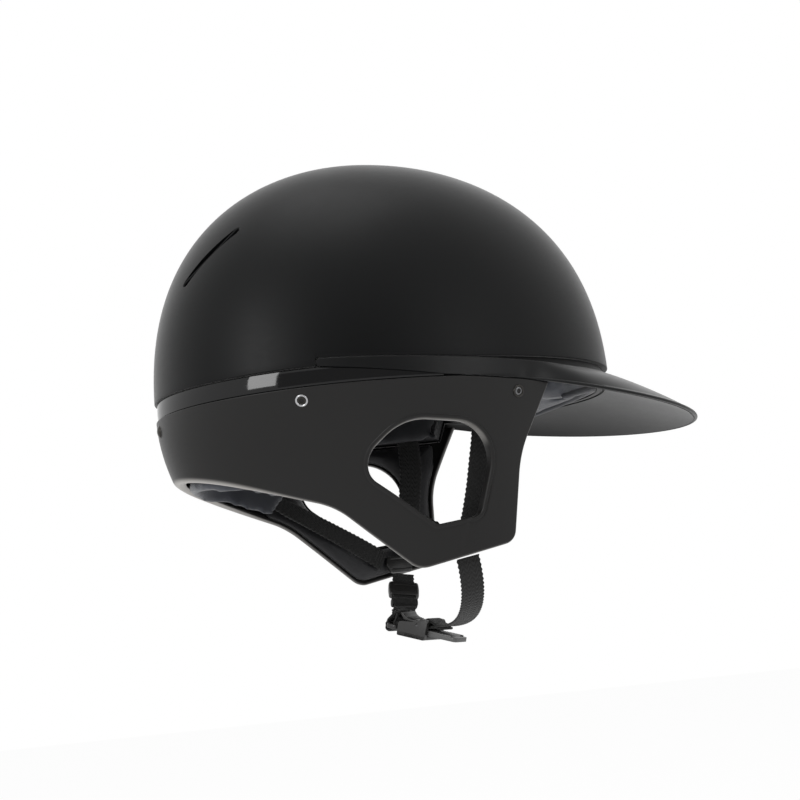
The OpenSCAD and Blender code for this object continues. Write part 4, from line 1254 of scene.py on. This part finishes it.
def quilt(u, seams, depth):
    """Share of a pad's thickness at u, drawn in by depth at each seam."""
    return 1 - depth + depth * abs(math.sin(math.pi * seams * u)) ** 0.5


def seam_places(a, b, seams):
    return [mix(a, b, i / seams) for i in range(1, seams)]


FRONT_HEM_REACH = 44


def front_foot(a):
    """Height of the front pad's lower edge at an angle in degrees: it falls aside, then rises."""
    return LINER_FRONT_LOW - 4.2 - 0.0057 * a * a + 0.19 * np.maximum(0, np.abs(a) - 42) ** 2


def hem_ring(deg):
    """The front pad's hem, a bound strip along its foot, coloured paler than the pad as a painted highlight.
    """
    a, low = math.radians(deg), front_foot(deg)
    k = max(0.15, float(end_taper(0.5 + deg / 89, 30)))
    mid = face(a, low + 1.5, LINER_OUT_LOW + 2.1)
    out = unit(face(a, low, LINER_OUT_LOW) - face(a, low, LINER_OUT_LOW + 5))
    t = np.radians(np.arange(0, 360, 30))[:, None]
    return mid + k * (1.9 * np.cos(t) * out + 2.3 * np.sin(t) * np.array([0, 0, 1.0]))


def make_front_pad():
    reach, seams, t0 = 50.0, 5, FRONT_PAD_T
    i0, e = PAD_OUT + 0.2, 0.28 * FRONT_PAD_T
    loops, hem = [], []
    for u in np.linspace(0, 1, 150):
        deg = mix(-reach, reach, u)
        t = t0 * end_taper(u, 8) * quilt(u, seams, 0.14) * 0.82
        low, top = front_foot(deg), LINER_FRONT_LOW - 0.8
        loop = [(top, LINER_OUT_LOW + 1.4), (top + 0.2, i0 - 1), (8, i0), (16, i0), (23, i0),
                (24.4, i0 + 0.25 * t0), (20, i0 + e + 0.6 * t), (12, i0 + e + 0.66 * t),
                (mix(low, 8, 0.45), i0 + e + 0.6 * t), (low + 3, i0 + 0.24 * t0 + 0.36 * t),
                (low + 0.4, mix(LINER_OUT_LOW, i0, 0.5)), (low + 0.8, LINER_OUT_LOW + 2.2)]
        z, d = catmull(np.array(loop), 3, True).T
        loops.append(face(math.radians(deg), z, d))
        if abs(deg) <= FRONT_HEM_REACH:
            hem.append(hem_ring(deg))

    def held(p):
        a, d = np.degrees(plan_of(p, PAD_OUT)), depth_of(p, PAD_OUT)
        seam = near_lines(a, seam_places(-reach, reach, seams), 1.4)
        back = 1 - ease((d - PAD_OUT - 0.2) / 1.6)
        inner = ease((d - PAD_OUT - 1.5) / 1.0)
        above = p[:, 2] - front_foot(a)
        body = np.where(above > 5, np.maximum(back, seam * inner), seam * 0.6)
        foot = 1 - ease((above - 2) / 3)
        return np.maximum.reduce([body, near_lines(a, (-reach, reach), 2.5), foot * 0.8])

    piece("front_pad_hem", *tube(hem), "piping", slot="pad")
    pad_body("front_pad_satin", loops, "front_pad", held, 2.0)


def make_side_pad(side, name):
    a0, a1 = (58.0, 118.0) if side > 0 else (242.0, 302.0)
    z0, z1 = -LINER_DROP - 4.3, 24.0
    seams = 3
    loops = []
    for u in np.linspace(0, 1, 90):
        a = math.radians(mix(a0 + 0.6, a1 - 0.6, u))
        c = max(0.12, float(end_taper(u, 3.2)))
        t = SIDE_PAD_T * c * quilt(u, seams, 0.16) * 0.78
        draw = 0.07 * (1 - c)
        v = np.linspace(0.02, 0.98, 12)
        z = mix(z0, z1, mix(draw, 1 - draw, v))
        d = PAD_OUT + np.maximum(1.2, 1.0 + t * end_taper(v, 4))
        loops.append(face(a, np.r_[z, z[::-1]], np.r_[np.full(12, PAD_OUT + 0.15), d[::-1]]))

    def held(p):
        a, d = np.degrees(plan_of(p, PAD_OUT)) % 360, depth_of(p, PAD_OUT)
        back = 1 - ease((d - PAD_OUT - 0.2) / 1.3)
        seam = near_lines(a, seam_places(a0, a1, seams), 1.7)
        edge = np.maximum(near_lines(p[:, 2], (z0, z1), 2.6), near_lines(a, (a0, a1), 2.4))
        return np.maximum.reduce([back, seam, edge])

    # the side pads take the darker copy of the pad cloth, painted shade
    pad_body(f"side_pad_{name}_satin", loops, f"side_pad_{name}", held, 1.9, "dark_pad", voxel=2.6)


NAPE_END = -53.0


def nape_foot(x):
    """Height of the nape pad's lower edge, just inside the guard's."""
    return LOW_REAR[1] + LOW_SLOPE * (x - LOW_REAR[0]) + 1.2


def make_nape_pad():
    half, seams = 57.0, 6
    loops = []

    def lean(z, low, w):
        return 11 * ease((z - low) / 14) * (1 - ease((z + 33) / 11)) * ease((w - 0.4) / 0.5)

    def aside(w):
        """0 at the middle of the pad, 1 towards its ends."""
        return ease((w - 0.42) / 0.26)

    for u in np.linspace(0, 1, 170):
        w, side = abs(2 * u - 1), (-1 if u < 0.5 else 1)
        a = math.pi + math.radians(mix(-half, half, u))
        c = math.sqrt(max(0, 1 - w ** 14))
        e = float(aside(w))
        t = NAPE_PAD_T * mix(0.45, 0.86, c * quilt(u, seams, 0.14)) * mix(1, 0.64, e)
        tl = NAPE_PAD_T * mix(0.45, 0.8, c) * mix(1, 0.64, e)
        low = mix(NAPE_END, nape_foot(face(a, -50, LINING_IN)[0]), c)
        mid, knee = mix(low, -13, 0.3), mix(13, 19.3, e) + 0.25
        back = mix(LINING_IN - 2, LINING_IN + 7.4, e) + 2.6 * (1 - c) + 0.25
        k = mix(20, 24, e) + 0.2
        loop = [(low, back), (mid, knee), (-22, k), (-LINER_DROP - 0.7, PAD_OUT + 0.2), (4, PAD_OUT + 0.15),
                (15.6, PAD_OUT + 0.15), (16.6, PAD_OUT + 0.4 * t), (8, PAD_OUT + t), (-8, PAD_OUT + t),
                (-22, k + tl), (mid, knee + 0.95 * tl), (low - 2.3, back + 0.6 * tl)]
        z, d = catmull(np.array(loop), 4, True).T
        loops.append(face(a + side * np.radians(lean(z, low, w)), z, d))

    def held(p):
        a, d, z = np.degrees(plan_of(p, PAD_OUT)) % 360, depth_of(p, PAD_OUT), p[:, 2]
        middle = np.interp(-z, [13, 22, 38, 60], [PAD_OUT, 20, 11, 7])
        ends = np.interp(-z, [13, 22, 41, 58], [PAD_OUT, 24, 19.3, 16.2])
        base = mix(middle, ends, aside(np.abs(a - 180) / half))
        back = 1 - ease((d - base - 0.8) / 1.8)
        front = d > base + 2.2
        seam = near_lines(a, seam_places(180 - half, 180 + half, seams), 1.5) * front * ease((z + 16) / 8)
        across = near_lines(z, (-15,), 2.0) * front
        edge = near_lines(a, (180 - half - 8, 180 + half + 8), 4.0)
        hem = 1 - ease((z - nape_foot(p[:, 0]) - 2) / 4)
        lower = 0.85 * ease((-13 - z) / 6)
        return np.maximum.reduce([back, seam * (1 - hem), 0.7 * across, edge, hem, lower])

    pad_body("nape_pad_satin", loops, "nape_pad", held, 2.2, voxel=2.8)


def make_crown_pad():
    t = np.linspace(0, 2 * math.pi, 120, endpoint=False)
    lobes = 4 * np.abs(np.sin(2 * t)) ** 0.7
    starts = (66.5, 69, 72, 76, 80, 84, 88)

    def ring(start, d):
        return crown_point(t, np.radians(np.minimum(89, start + (90 - start) * lobes / 14)), d)

    def swell(start):
        return (CROWN_PAD_T - 3.0) * np.sqrt(max(0, 1 - ((90 - start) / 24) ** 3))

    rows = [ring(v, PAD_OUT + 1.2 + swell(v)) for v in starts[::-1]]
    rows += [ring(v, PAD_OUT + 0.1) for v in starts]
    ob = piece("crown_pad_satin", *tube(rows), "pad", nodes="crown_pad")

    def held(p):
        x, y, z = p.T
        r = np.hypot(x / half_length(x, PAD_OUT), y / (HALF_W - PAD_OUT))
        deep = (CROWN - PAD_OUT) * np.maximum(0, 1 - r ** (2 / DOME_Q)) ** (DOME_P / 2) - z
        back = 1 - ease((deep - 0.3) / 1.4)
        cross = 1 - np.clip(np.minimum(np.abs(x), np.abs(y)) / 2.6, 0, 1)
        return np.maximum(back, ease(cross * (deep > 1.5)))

    inflate(ob, held, 2.0, voxel=2.8)


# Webbing
FRONT_ANCHOR, REAR_ANCHOR, REAR_LEAN = (46.0, 4.0), (-82.0, 4.0), 19.0
STRAP_D, CHANNEL_D = LINER_IN - 2, LINER_IN - 3.8
DIVIDER_X, DIVIDER_Z, DIVIDER_H, DIVIDER_T = 30.0, -91.5, 11.0, 3.4
DIVIDER_D = LINING_IN + 1 + DIVIDER_T / 2
DIVIDER_TOP = DIVIDER_Z + DIVIDER_H / 2 + 1.9
FRONT_STRAP = [(46, 10, STRAP_D), (46, 0, STRAP_D), (46, -9, STRAP_D), (44.7, -30, STRAP_D),
               (42.2, -45, 20.8), (39.5, -60, 18.6), (36, -74, 15.8), (DIVIDER_X + 2, DIVIDER_TOP, DIVIDER_D)]
REAR_STRAP = [(-84.4, 10, STRAP_D), (-80.4, 0, STRAP_D), (-76.8, -9, STRAP_D), (-71, -25, 20), (-60, -39, 17),
              (-46, -50.5, 15.4), (-30, -59.5, 14.2), (-12, -69.5, 12.9), (4, -79, 12),
              (DIVIDER_X - WEB_W / 2 - 4, DIVIDER_Z + 2.5, DIVIDER_D)]
PICK, TOOTH, STITCH_STEP = 3.0, 0.55, 2.2
ACROSS = np.array([1.0, 0, 0])


def ribbon(centres, across):
    """Woven strap: rounded selvedges that step in and out with each pick of the weave."""
    c, w = np.asarray(centres, float), np.asarray(across, float)
    s = run_of(c)
    n = int(s[-1] / 0.55) + 1
    t = np.linspace(0, s[-1], n)
    c, w = sampled(t, s, c), sampled(t, s, w)
    way = unit(np.gradient(c, axis=0))
    w = unit(w - way * np.sum(w * way, -1, keepdims=True))
    up = np.cross(way, w)
    tooth = np.abs((t / PICK) % 1 - 0.5) * 2
    left, right = (WEB_W / 2 + 0.12 - TOOTH * ease(v) for v in (tooth, 1 - tooth))
    v = np.array([-1, -0.97, -0.9, -0.72, -0.45, -0.15, 0.15, 0.45, 0.72, 0.9, 0.97, 1])
    h = WEB_T / 2 * np.array([0.35, 0.72, 0.95, 1, 1, 1, 1, 1, 1, 0.95, 0.72, 0.35])
    edge = 1 + 0.07 * np.sin(2 * math.pi * t / PICK) / (WEB_T / 2)
    rings, uvs = [], []
    for side in (1, -1):
        for vv, hh in list(zip(v, h))[::side]:
            half = np.where(vv > 0, right, left)
            rings.append(c + w * (half * vv)[:, None] + up * (side * hh * edge)[:, None])
            uvs.append(np.stack([t, np.full(n, vv * WEB_W / 2 + (0 if side > 0 else 1.1))], -1))
    pts, uv = (np.array(v).transpose(1, 0, 2) for v in (rings, uvs))
    return *tube(pts), uv.reshape(-1, 2)


def strap_piece(name, centres, across, **kw):
    pts, faces, uv = ribbon(centres, across)
    return piece(name + "_webbing", pts, faces, "webbing", nodes=name, uv=uv, sharp=60, **kw)


def guard_strap(points, side):
    p = catmull(points, 10)
    c = at(p[:, 0], p[:, 1], p[:, 2], side)
    n = np.array([out_at(q[0], q[1], side) for q in p])
    return c, np.cross(n, np.gradient(c, axis=0))


def stitches(name, centres, across, rows, layer=0.86):
    """Short stitches in rows across a strap, on both its faces."""
    c, w = np.asarray(centres, float), np.asarray(across, float)
    s = run_of(c)
    way_all = unit(np.gradient(c, axis=0))
    parts = []
    ball, faces = lathe([(0.02, -0.9), (0.2, -0.7), (0.24, 0), (0.2, 0.7), (0.02, 0.9)], 6)
    for t in rows:
        o, way, ww = (sampled([t], s, v)[0] for v in (c, way_all, w))
        way = unit(way)
        ww = unit(ww - way * (ww @ way))
        up = np.cross(way, ww)
        turn = np.stack([up, way, ww], -1)
        for k in np.arange(-5.0, 5.0 + 0.01, STITCH_STEP):
            for side in (1, -1):
                parts.append((ball @ turn.T + o + ww * k + up * side * layer * WEB_T / 2 * 1.12, faces))
    joined(name + "_stitches", parts, "thread", slot="webbing")


def make_guard_straps():
    for side, name in SIDES:
        for kind, points in (("front", FRONT_STRAP), ("rear", REAR_STRAP)):
            strap = f"{kind}_strap_{name}"
            c, w = guard_strap(points, side)
            strap_piece(strap, c, w)
            last = run_of(c)[-1] - 5.5
            stitches(strap, c, w, (last, last + 1.6, last + 3.2))


def divider_place(side):
    return at(DIVIDER_X, DIVIDER_Z, DIVIDER_D, side)


def make_dividers():
    half, h = WEB_W / 2, DIVIDER_H / 2
    corners = [(half + 0.6, h), (half, -h), (-half, -h), (-half - 2.6, 0), (-half - 0.6, h)]
    for side, name in SIDES:
        f = seat_frame(divider_place(side), out_at(DIVIDER_X, DIVIDER_Z, side), math.pi / 2)
        plate = rounded([(-side * x, z, 1.6) for x, z in corners], 8)
        parts = [prism(plate, -DIVIDER_T / 2 + 0.5, DIVIDER_T / 2 - 0.5, (0, 1, 2))]
        for z in (h - 1.7, -h + 1.5):
            bar = rounded_box(-half + 0.4, z - 0.9, half - 0.4, z + 0.9, 0.8, 4)
            parts.append(prism(bar, -DIVIDER_T / 2, DIVIDER_T / 2, (0, 1, 2)))
        parts = [(seated(p, f), fc) for p, fc in parts]
        node = f"strap_divider_{name}"
        bevelled(joined(node + "_moulding", parts, "fittings", nodes=node), 0.35, 3)


# Chin straps, slider, keeper and buckle
YAW, TILT = math.radians(-51), math.radians(16.3)
BUCKLE = np.array([26, 25.7, -BUCKLE_DROP])
TONGUE_WAY = np.array([math.cos(TILT) * math.cos(YAW), math.cos(TILT) * math.sin(YAW), -math.sin(TILT)])
PIN_WAY = np.array([-math.sin(YAW), math.cos(YAW), 0.0])
BUCKLE_UP = np.cross(TONGUE_WAY, PIN_WAY)
WALL, FLOOR_T, HALF_CH = 2.6, 2.5, CHANNEL_W / 2
TONGUE_LOW, TOOTH_H, PITCH = -1.4, 1.0, 2.2
TONGUE_TOP = TONGUE_LOW + TONGUE_T + TOOTH_H
PIN_X, PIN_Z = 3.5, TONGUE_TOP + 2.2
BAR_X, BAR_R = HOUSING_L / 2 - 1.5, 1.6
BAR_Z = TONGUE_TOP + 0.6 + WEB_T + BAR_R
HUB_R = PIN_R + 1.1
FRAME_X, FRAME_L, FRAME_T, FRAME_BAR = -15.6, 8.4, 3.2, 2.3


def in_buckle(p):
    p = np.asarray(p, float)
    return BUCKLE + p[..., :1] * TONGUE_WAY + p[..., 1:2] * PIN_WAY + p[..., 2:3] * BUCKLE_UP


def buckle_parts(parts):
    return [(in_buckle(p), f) for p, f in parts]


def divider_foot(side):
    return divider_place(side) + np.array([0.5, -side * 1.4, -DIVIDER_H / 2 - 1.9])


RUN_WAY = unit([-2.5, -7, -11])
RUN_L, SLIDER_AT, SLIDER_L, KEEPER_AT = 25.0, 12.0, 10.0, 21.5
LEFT_FOOT = divider_foot(1)
RUN_ACROSS = unit(ACROSS - RUN_WAY * RUN_WAY[0])
RUN_FACE = np.cross(RUN_WAY, RUN_ACROSS)


def bezier(p, t):
    """Points of a cubic curve with the four control points p, at the shares t."""
    t = np.asarray(t)[:, None]
    return p[0] * (1 - t) ** 3 + p[1] * 3 * t * (1 - t) ** 2 + p[2] * 3 * t * t * (1 - t) + p[3] * t ** 3


def make_chin_left():
    """One strap: down, through the tongue's frame, round its far bar and back up, tucked in the slider."""
    end = in_buckle([FRAME_X + 0.6, 0, TONGUE_LOW + FRAME_T + 3.0])
    run_end = LEFT_FOOT + RUN_WAY * RUN_L
    mid = bezier([run_end, run_end + RUN_WAY * 6, end + BUCKLE_UP * 4, end], np.linspace(0, 1, 30))
    down = [LEFT_FOOT + RUN_WAY * s for s in np.linspace(0, RUN_L, 18)[:-1]]
    spine = np.concatenate([down, mid])
    s = run_of(spine)
    across = mix(ACROSS, PIN_WAY, ease((s - RUN_L) / (s[-1] - RUN_L))[:, None])
    way = unit(np.gradient(spine, axis=0))
    w = unit(across - way * np.sum(across * way, -1, keepdims=True))
    up = np.cross(way, w)
    # the two layers part a little between the fittings, and lie close inside them
    part = 0.79 + 0.08 * np.exp(-((s - 4.0) / 2.8) ** 2) + 0.7 * np.exp(-((s - RUN_L - 3.5) / 2.6) ** 2)
    front, back = spine - up * part[:, None], spine + up * part[:, None]
    low = TONGUE_LOW - 1.1
    x0, x1 = FRAME_X + FRAME_L / 2 - FRAME_BAR - 3.6, FRAME_X - FRAME_L / 2 - 0.95
    turn = [(x0 + 0.2, 0, TONGUE_LOW + 1.2), (x0, 0, low + 0.2), (mix(x0, x1, 0.3), 0, low - 0.5),
            (mix(x0, x1, 0.8), 0, low - 0.3), (x1, 0, low + 1.2), (x1 - 0.1, 0, low + 3.4),
            (x1 + 0.7, 0, low + 5.6), (x1 + 2.4, 0, low + 8.0)]
    first, second = (front, back) if np.dot(up[-1], TONGUE_WAY) < 0 else (back, front)
    tucked = int(np.searchsorted(s, SLIDER_AT - 4.5))
    line = np.concatenate([first[:-2], in_buckle(turn), second[tucked:-8][::-1]])
    line = catmull(line[::2] if len(line) % 2 else np.concatenate([line[:-1:2], line[-1:]]), 6)
    s = run_of(line)
    turned_by = np.clip((s - RUN_L) / 14, 0, 1) * np.clip((s[-1] - s - 10) / 14, 0, 1)
    strap_piece("chin_strap_left", line, mix(ACROSS, PIN_WAY, ease(turned_by)[:, None]))
    top = np.array([LEFT_FOOT + RUN_WAY * v for v in np.linspace(0, 6, 12)])
    stitches("chin_strap_left", top, np.tile(ACROSS, (12, 1)), (0.6, 1.7), 1.75)


def make_chin_right():
    """The strap from the right divider to the housing's bar, which it closes round."""
    foot = divider_foot(-1)
    x, z, r = BAR_X, BAR_Z, BAR_R
    end = in_buckle([x + r + 4, 0, z])
    knees = [foot + np.array([6.2, 3, -36.4]), in_buckle([x + 21, 0, z + 2])]
    line = bezier([foot, *knees, end], np.linspace(0, 1, 60))
    loop = [(x + r + 2.2, 0, z + 1.3), (x + 0.8, 0, z + r + 0.85), (x - 1.0, 0, z + r + 0.6),
            (x - r - 0.8, 0, z + 0.5), (x - 1.6, 0, z - r - 0.2), (x + 0.4, 0, z - r - 0.75),
            (x + r + 1.6, 0, z - 1.5), (x + r + 4.6, 0, z - 1.0), (x + r + 9, 0, z - 1.2)]
    line = catmull(np.concatenate([line[:-2:3], in_buckle(loop)]), 6)
    s = run_of(line)
    w = mix(ACROSS, PIN_WAY, ease(1.1 * s / (s[-1] - 16))[:, None])
    return strap_piece("chin_strap_right", line, w, body=None), foot, end


def loop_frame(along, length, t, rim, r, bulge):
    """A frame round the doubled strap, with a softly swelling outside and rounded ends."""
    c = LEFT_FOOT + RUN_WAY * along
    hx, hy = WEB_W / 2 + 0.3, WEB_T + 0.3
    fx, fy = WEB_W / 2 + rim, hy + t
    top, e = length / 2, 0.55
    rows = [(fx - e, fy - e, r, -top), (fx - 0.16, fy - 0.16, r, -top + 0.3 * e), (fx, fy, r, -top + e)]
    for f in np.linspace(0, 1, 9)[1:]:
        swell = bulge * math.sin(math.pi * f)
        rows.append((fx + swell * 0.5, fy + swell, r, mix(-top + e, top - e, f)))
    rows += [(fx - 0.16, fy - 0.16, r, top - 0.3 * e), (fx - e, fy - e, r, top)]
    rows += [(hx + 0.25, hy + 0.25, 0.6, top), (hx, hy, 0.5, top - 0.35)]
    rows += [(hx, hy, 0.5, -top + 0.35), (hx + 0.25, hy + 0.25, 0.6, -top)]
    pts, uv = [], []
    for x, y, rad, z in rows:
        o = rounded_box(-x, -y, x, y, rad, 6)
        pts.append(c + o[:, :1] * RUN_ACROSS + o[:, 1:] * RUN_FACE + z * RUN_WAY)
        uv.append(np.stack([run_of(o), np.full(len(o), z)], -1))
    return *torus(pts), np.array(uv).reshape(-1, 2)


def make_slider_keeper():
    p, f, _ = loop_frame(SLIDER_AT, SLIDER_L, 1.0, 2.4, 1.9, 0.4)
    piece("strap_slider_moulding", p, f, "fittings", nodes="strap_slider", body="slider", sharp=40)
    c = LEFT_FOOT + RUN_WAY * SLIDER_AT
    rib, faces = prism(rounded_box(-WEB_W / 2, -0.55, WEB_W / 2, 0.55, 0.5, 4), -0.25, 0.25, (0, 1, 2))
    ribs, y = [], WEB_T + 1.45
    for z in (-2.6, 0.0, 2.6):
        for s in (1, -1):
            out = s * y + rib[:, 2:] * 0.9
            ribs.append((c + rib[:, :1] * RUN_ACROSS + out * RUN_FACE + (z + rib[:, 1:2]) * RUN_WAY, faces))
    bevelled(joined("strap_slider_ribs", ribs, "fittings", body="slider"), 0.15)
    p, f, uv = loop_frame(KEEPER_AT, 5.0, 0.7, 1.3, 1.0, 0.2)
    piece("strap_keeper_loop", p, f, "webbing", nodes="strap_keeper", body="keeper", uv=uv[:, ::-1], sharp=60)


def make_tongue():
    half, top = HALF_CH - 0.35, TONGUE_LOW + TONGUE_T
    x0 = FRAME_X + FRAME_L / 2 - 0.5
    blade = rounded([(x0, -half, 0), (TAIL_L, -half, 2.4), (TAIL_L, half, 2.4), (x0, half, 0)], 8)
    blade = prism(blade, TONGUE_LOW, top, (0, 1, 2))
    first = -4 * PITCH
    teeth = int((TAIL_L - 4 - first) / PITCH)
    saw = [(first, top - 0.2)]
    for x in first + PITCH * np.arange(teeth):
        saw += [(x, top), (x + 0.35, top + TOOTH_H), (x + 0.6, top + TOOTH_H)]
    saw += [(first + teeth * PITCH, top), (first + teeth * PITCH, top - 0.2)]
    parts = [blade, prism(saw, -half + 1, half - 1)]
    for y in (half - 0.35, 0.35 - half):
        parts.append(block((-8, y - 0.35, top - 0.1), (TAIL_L - 3.4, y + 0.35, top + 0.75)))
    # the tongue takes the lighter nylon copy, a painted highlight
    strip = joined("buckle_tongue_strip", buckle_parts(parts), "strip", slot="fittings")
    bevelled(strip, 0.16)
    fx, fy = FRAME_L / 2, WEB_W / 2 + FRAME_BAR
    outer = rounded_box(FRAME_X - fx, -fy, FRAME_X + fx, fy, 2.5, 8)
    hx, hy, cx = (FRAME_L - 2 * FRAME_BAR) / 2, (WEB_W + 1.6) / 2, FRAME_X + 0.5
    inner = rounded_box(cx - hx, -hy, cx + hx, hy, 0.7, 8)
    z0, e = TONGUE_LOW - 0.2 + FRAME_T / 2, 0.7
    rows = []
    for outline, way in ((outer, -1), (inner, 1)):
        centre = outline.mean(0)
        for t in np.radians(np.linspace(way * 90, -way * 90, 9)):
            k = e * (1 - math.cos(t))
            o = centre + (outline - centre) * (1 + way * k / np.abs(outline - centre).max(0))
            rows.append(np.c_[o, np.full(len(o), z0 + FRAME_T / 2 * math.sin(t))])
    piece("buckle_tongue_frame", *torus(in_buckle(rows)), "fittings", sharp=60)
    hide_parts("buckle_tongue")


def make_housing():
    hl, outer = HOUSING_L / 2, HALF_CH + WALL
    low = TONGUE_LOW - 0.3 - FLOOR_T
    top, ear = PIN_Z + 1.6, BAR_Z + BAR_R + 1
    floor = rounded([(-hl, low, 0.9), (hl, low, 0.9), (hl, low + FLOOR_T, 0.4), (-hl, low + FLOOR_T, 0.4)], 4)
    wall = rounded([(-hl, low, 0.9), (hl, low, 0.9), (hl + 1.2, ear, 1.8), (BAR_X - BAR_R - 1.2, ear, 1.8),
                    (BAR_X - BAR_R - 2.6, top, 2), (-hl, top - 1.6, 2)], 7)
    t = np.radians(np.arange(0, 360, 15))
    bar = np.stack([BAR_X + BAR_R * np.cos(t), BAR_Z + BAR_R * np.sin(t)], -1)
    across = HALF_CH + 0.3
    parts = [prism(floor, -outer, outer)] + [prism(wall, s * HALF_CH, s * outer) for s in (1, -1)]
    parts.append(prism(bar, -across, across))
    parts.append(block((-hl, -across, TONGUE_TOP + 0.5), (-hl + 2.2, across, TONGUE_TOP + 1.9)))
    # grip ribs across the underside
    for x in -6.5 + 2.2 * np.arange(7):
        parts.append(block((x - 0.45, -outer + 1.6, low - 0.28), (x + 0.45, outer - 1.6, low + 0.2)))
    housing = joined("buckle_housing_moulding", buckle_parts(parts), "fittings",
                     nodes="buckle_housing", body="buckle")
    bevelled(housing, 0.35, 3)


def make_lever():
    half, end, low = HALF_CH - 0.3, -HOUSING_L / 2 + 2, TONGUE_TOP + 0.9
    lower = [(PIN_X, PIN_Z - HUB_R), (PIN_X - 1.4, PIN_Z - HUB_R + 0.35), (PIN_X - 3, low + 1.4),
             (-2, low + 1.4), (-3.2, TONGUE_TOP + 0.25), (-4, low + 1.2), (end + 3, low + 1.6)]
    curl = [(end - 0.2, low + 2.7), (end - 2, low + 4.3), (end - 2.9, low + 6.1), (end - 2.3, low + 6.7),
            (end - 1.4, low + 6.4), (end - 0.5, low + 5.2), (end + 2, low + 3.9)]
    back = [(-3, low + 3.4), (0.5, low + 3.7), (PIN_X, PIN_Z + HUB_R), (PIN_X + 1.6, PIN_Z + 1.3),
            (PIN_X + HUB_R, PIN_Z), (PIN_X + 1.5, PIN_Z - 1.5)]
    parts = [prism(lower + curl + back, -half, half)]
    parts.append(block((PIN_X + 1, -2.5, PIN_Z - 1), (PIN_X + 3, 2.5, PIN_Z + 1)))
    for i in range(5):
        x, z = end + 0.6 + i * 1.25, mix(low + 4.45, low + 3.75, i / 4)
        parts.append(block((x - 0.3, -half + 1.4, z - 0.6), (x + 0.3, half - 1.4, z + 0.25)))
    lever = joined("release_lever_moulding", buckle_parts(parts), "fittings",
                   nodes="release_lever", body="lever")
    bevelled(lever, 0.3, 3)


# Fasteners
REAR_SCREW, FRONT_SCREW, NAPE_Z = (-64.2, -7.1), (61.1, -9.4), -7.2
SOCKET_R, SCREW_L = 1.5, 9.0
PLAIN_NODES = ("vent_grilles", "strap_rivets", "pad_hook_patches", "threaded_inserts", "lever_pin",
               "lever_spring")


def screw_form():
    r, s, top, shank = HEAD_R - 1.3, SOCKET_R, 0.7, THREAD_R - 0.05

    def hexed(t, i, rad):
        if i > 3:
            return np.full(len(t), rad)
        k = np.mod(t, math.pi / 3) - math.pi / 6
        return rad * math.cos(math.pi / 6) / np.cos(k)

    profile = [(0.05, top - 1.4), (s * 0.99, top - 1.35), (s, top - 0.1), (s + 0.12, top + 0.02),
               (s + 0.42, top - 0.01), (r - 0.5, top - 0.12), (r - 0.12, top - 0.3), (r, top - 0.6),
               (r, 0.0), (shank, -0.05), (shank, -SCREW_L)]
    return lathe(profile, 60, hexed)


def washer_form():
    r, hole, n = HEAD_R, THREAD_R + 0.3, 56
    profile = [(hole, -1.1), (r - 0.12, -1.1), (r, -0.98), (r, 0.12), (r - 0.1, 0.38), (r - 0.3, 0.6),
               (r - 0.5, 0.68), (r - 0.75, 0.64), (r - 1.0, 0.5), (r - 1.22, 0.25), (r - 1.26, -0.25),
               (hole, -0.3)]
    last = (len(profile) - 1) * n
    pts, faces = lathe(profile, n)
    return pts, faces[:-2] + [[i, (i + 1) % n, last + (i + 1) % n, last + i] for i in range(n)]


def nape_dome():
    ball, top, r = 1.6 * HEAD_R, 1.6, HEAD_R
    radii = (0.6, 1.3, 2.0, 2.7, 3.3, 3.55)
    dome = [(0.02, top)] + [(v, top - ball + math.sqrt(ball * ball - v * v)) for v in radii]
    rim = [(r - 0.04, 0.12), (r, -0.1), (r, -1.0), (r - 0.15, -1.1), (THREAD_R, -1.1), (THREAD_R, -SCREW_L)]
    return lathe(dome + rim, 56)


def make_fasteners():
    for kind, (x, z), mats in (("rear", REAR_SCREW, ("black_steel", "bright_steel")),
                               ("front", FRONT_SCREW, ("steel", "black_steel"))):
        for name, form, sink, mat in (("side_screws", screw_form, 0.25, mats[0]),
                                      ("cup_washers", washer_form, 0.0, mats[1])):
            parts = []
            for side, _ in SIDES:
                n = out_at(x, z, side)
                pts, faces = form()
                seat = seat_frame(at(x, z, 0, side) - n * GUARD_OUT, n)
                parts.append((seated(pts - [0, 0, sink], seat), faces))
            joined(f"{kind}_{name}_steel", parts, mat, nodes=f"{kind}_{name}", sharp=35)
    pts, faces = nape_dome()
    pts = seated(pts, seat_frame(face(math.pi, NAPE_Z, 0.0) + [GUARD_OUT, 0, 0], (-1, 0, 0)))
    piece("nape_screw_dome", pts, faces, "black_steel", nodes="nape_screw", sharp=45)


def dress_plain_nodes():
    """Small hidden parts keep their CAD shape and get their material."""
    slots = {s["node"]: s["material_slot"] for s in frame["record"]["subparts"]}
    for node in PLAIN_NODES:
        materials = frame["nodes"][node].data.materials
        materials.clear()
        materials.append(M[slots[node]])


make_shell()
make_band()
make_brim()
make_guard()
for side, name in SIDES:
    make_lining(side, name)
make_liner_ring()
make_liner_crown()
make_front_pad()
for side, name in SIDES:
    make_side_pad(side, name)
make_nape_pad()
make_crown_pad()
make_guard_straps()
make_dividers()
make_chin_left()
strap, foot, end = make_chin_right()
make_slider_keeper()
make_tongue()
make_housing()
make_lever()
make_fasteners()
dress_plain_nodes()
tuple(foot * MM)
tuple(end * MM)
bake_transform(strap)
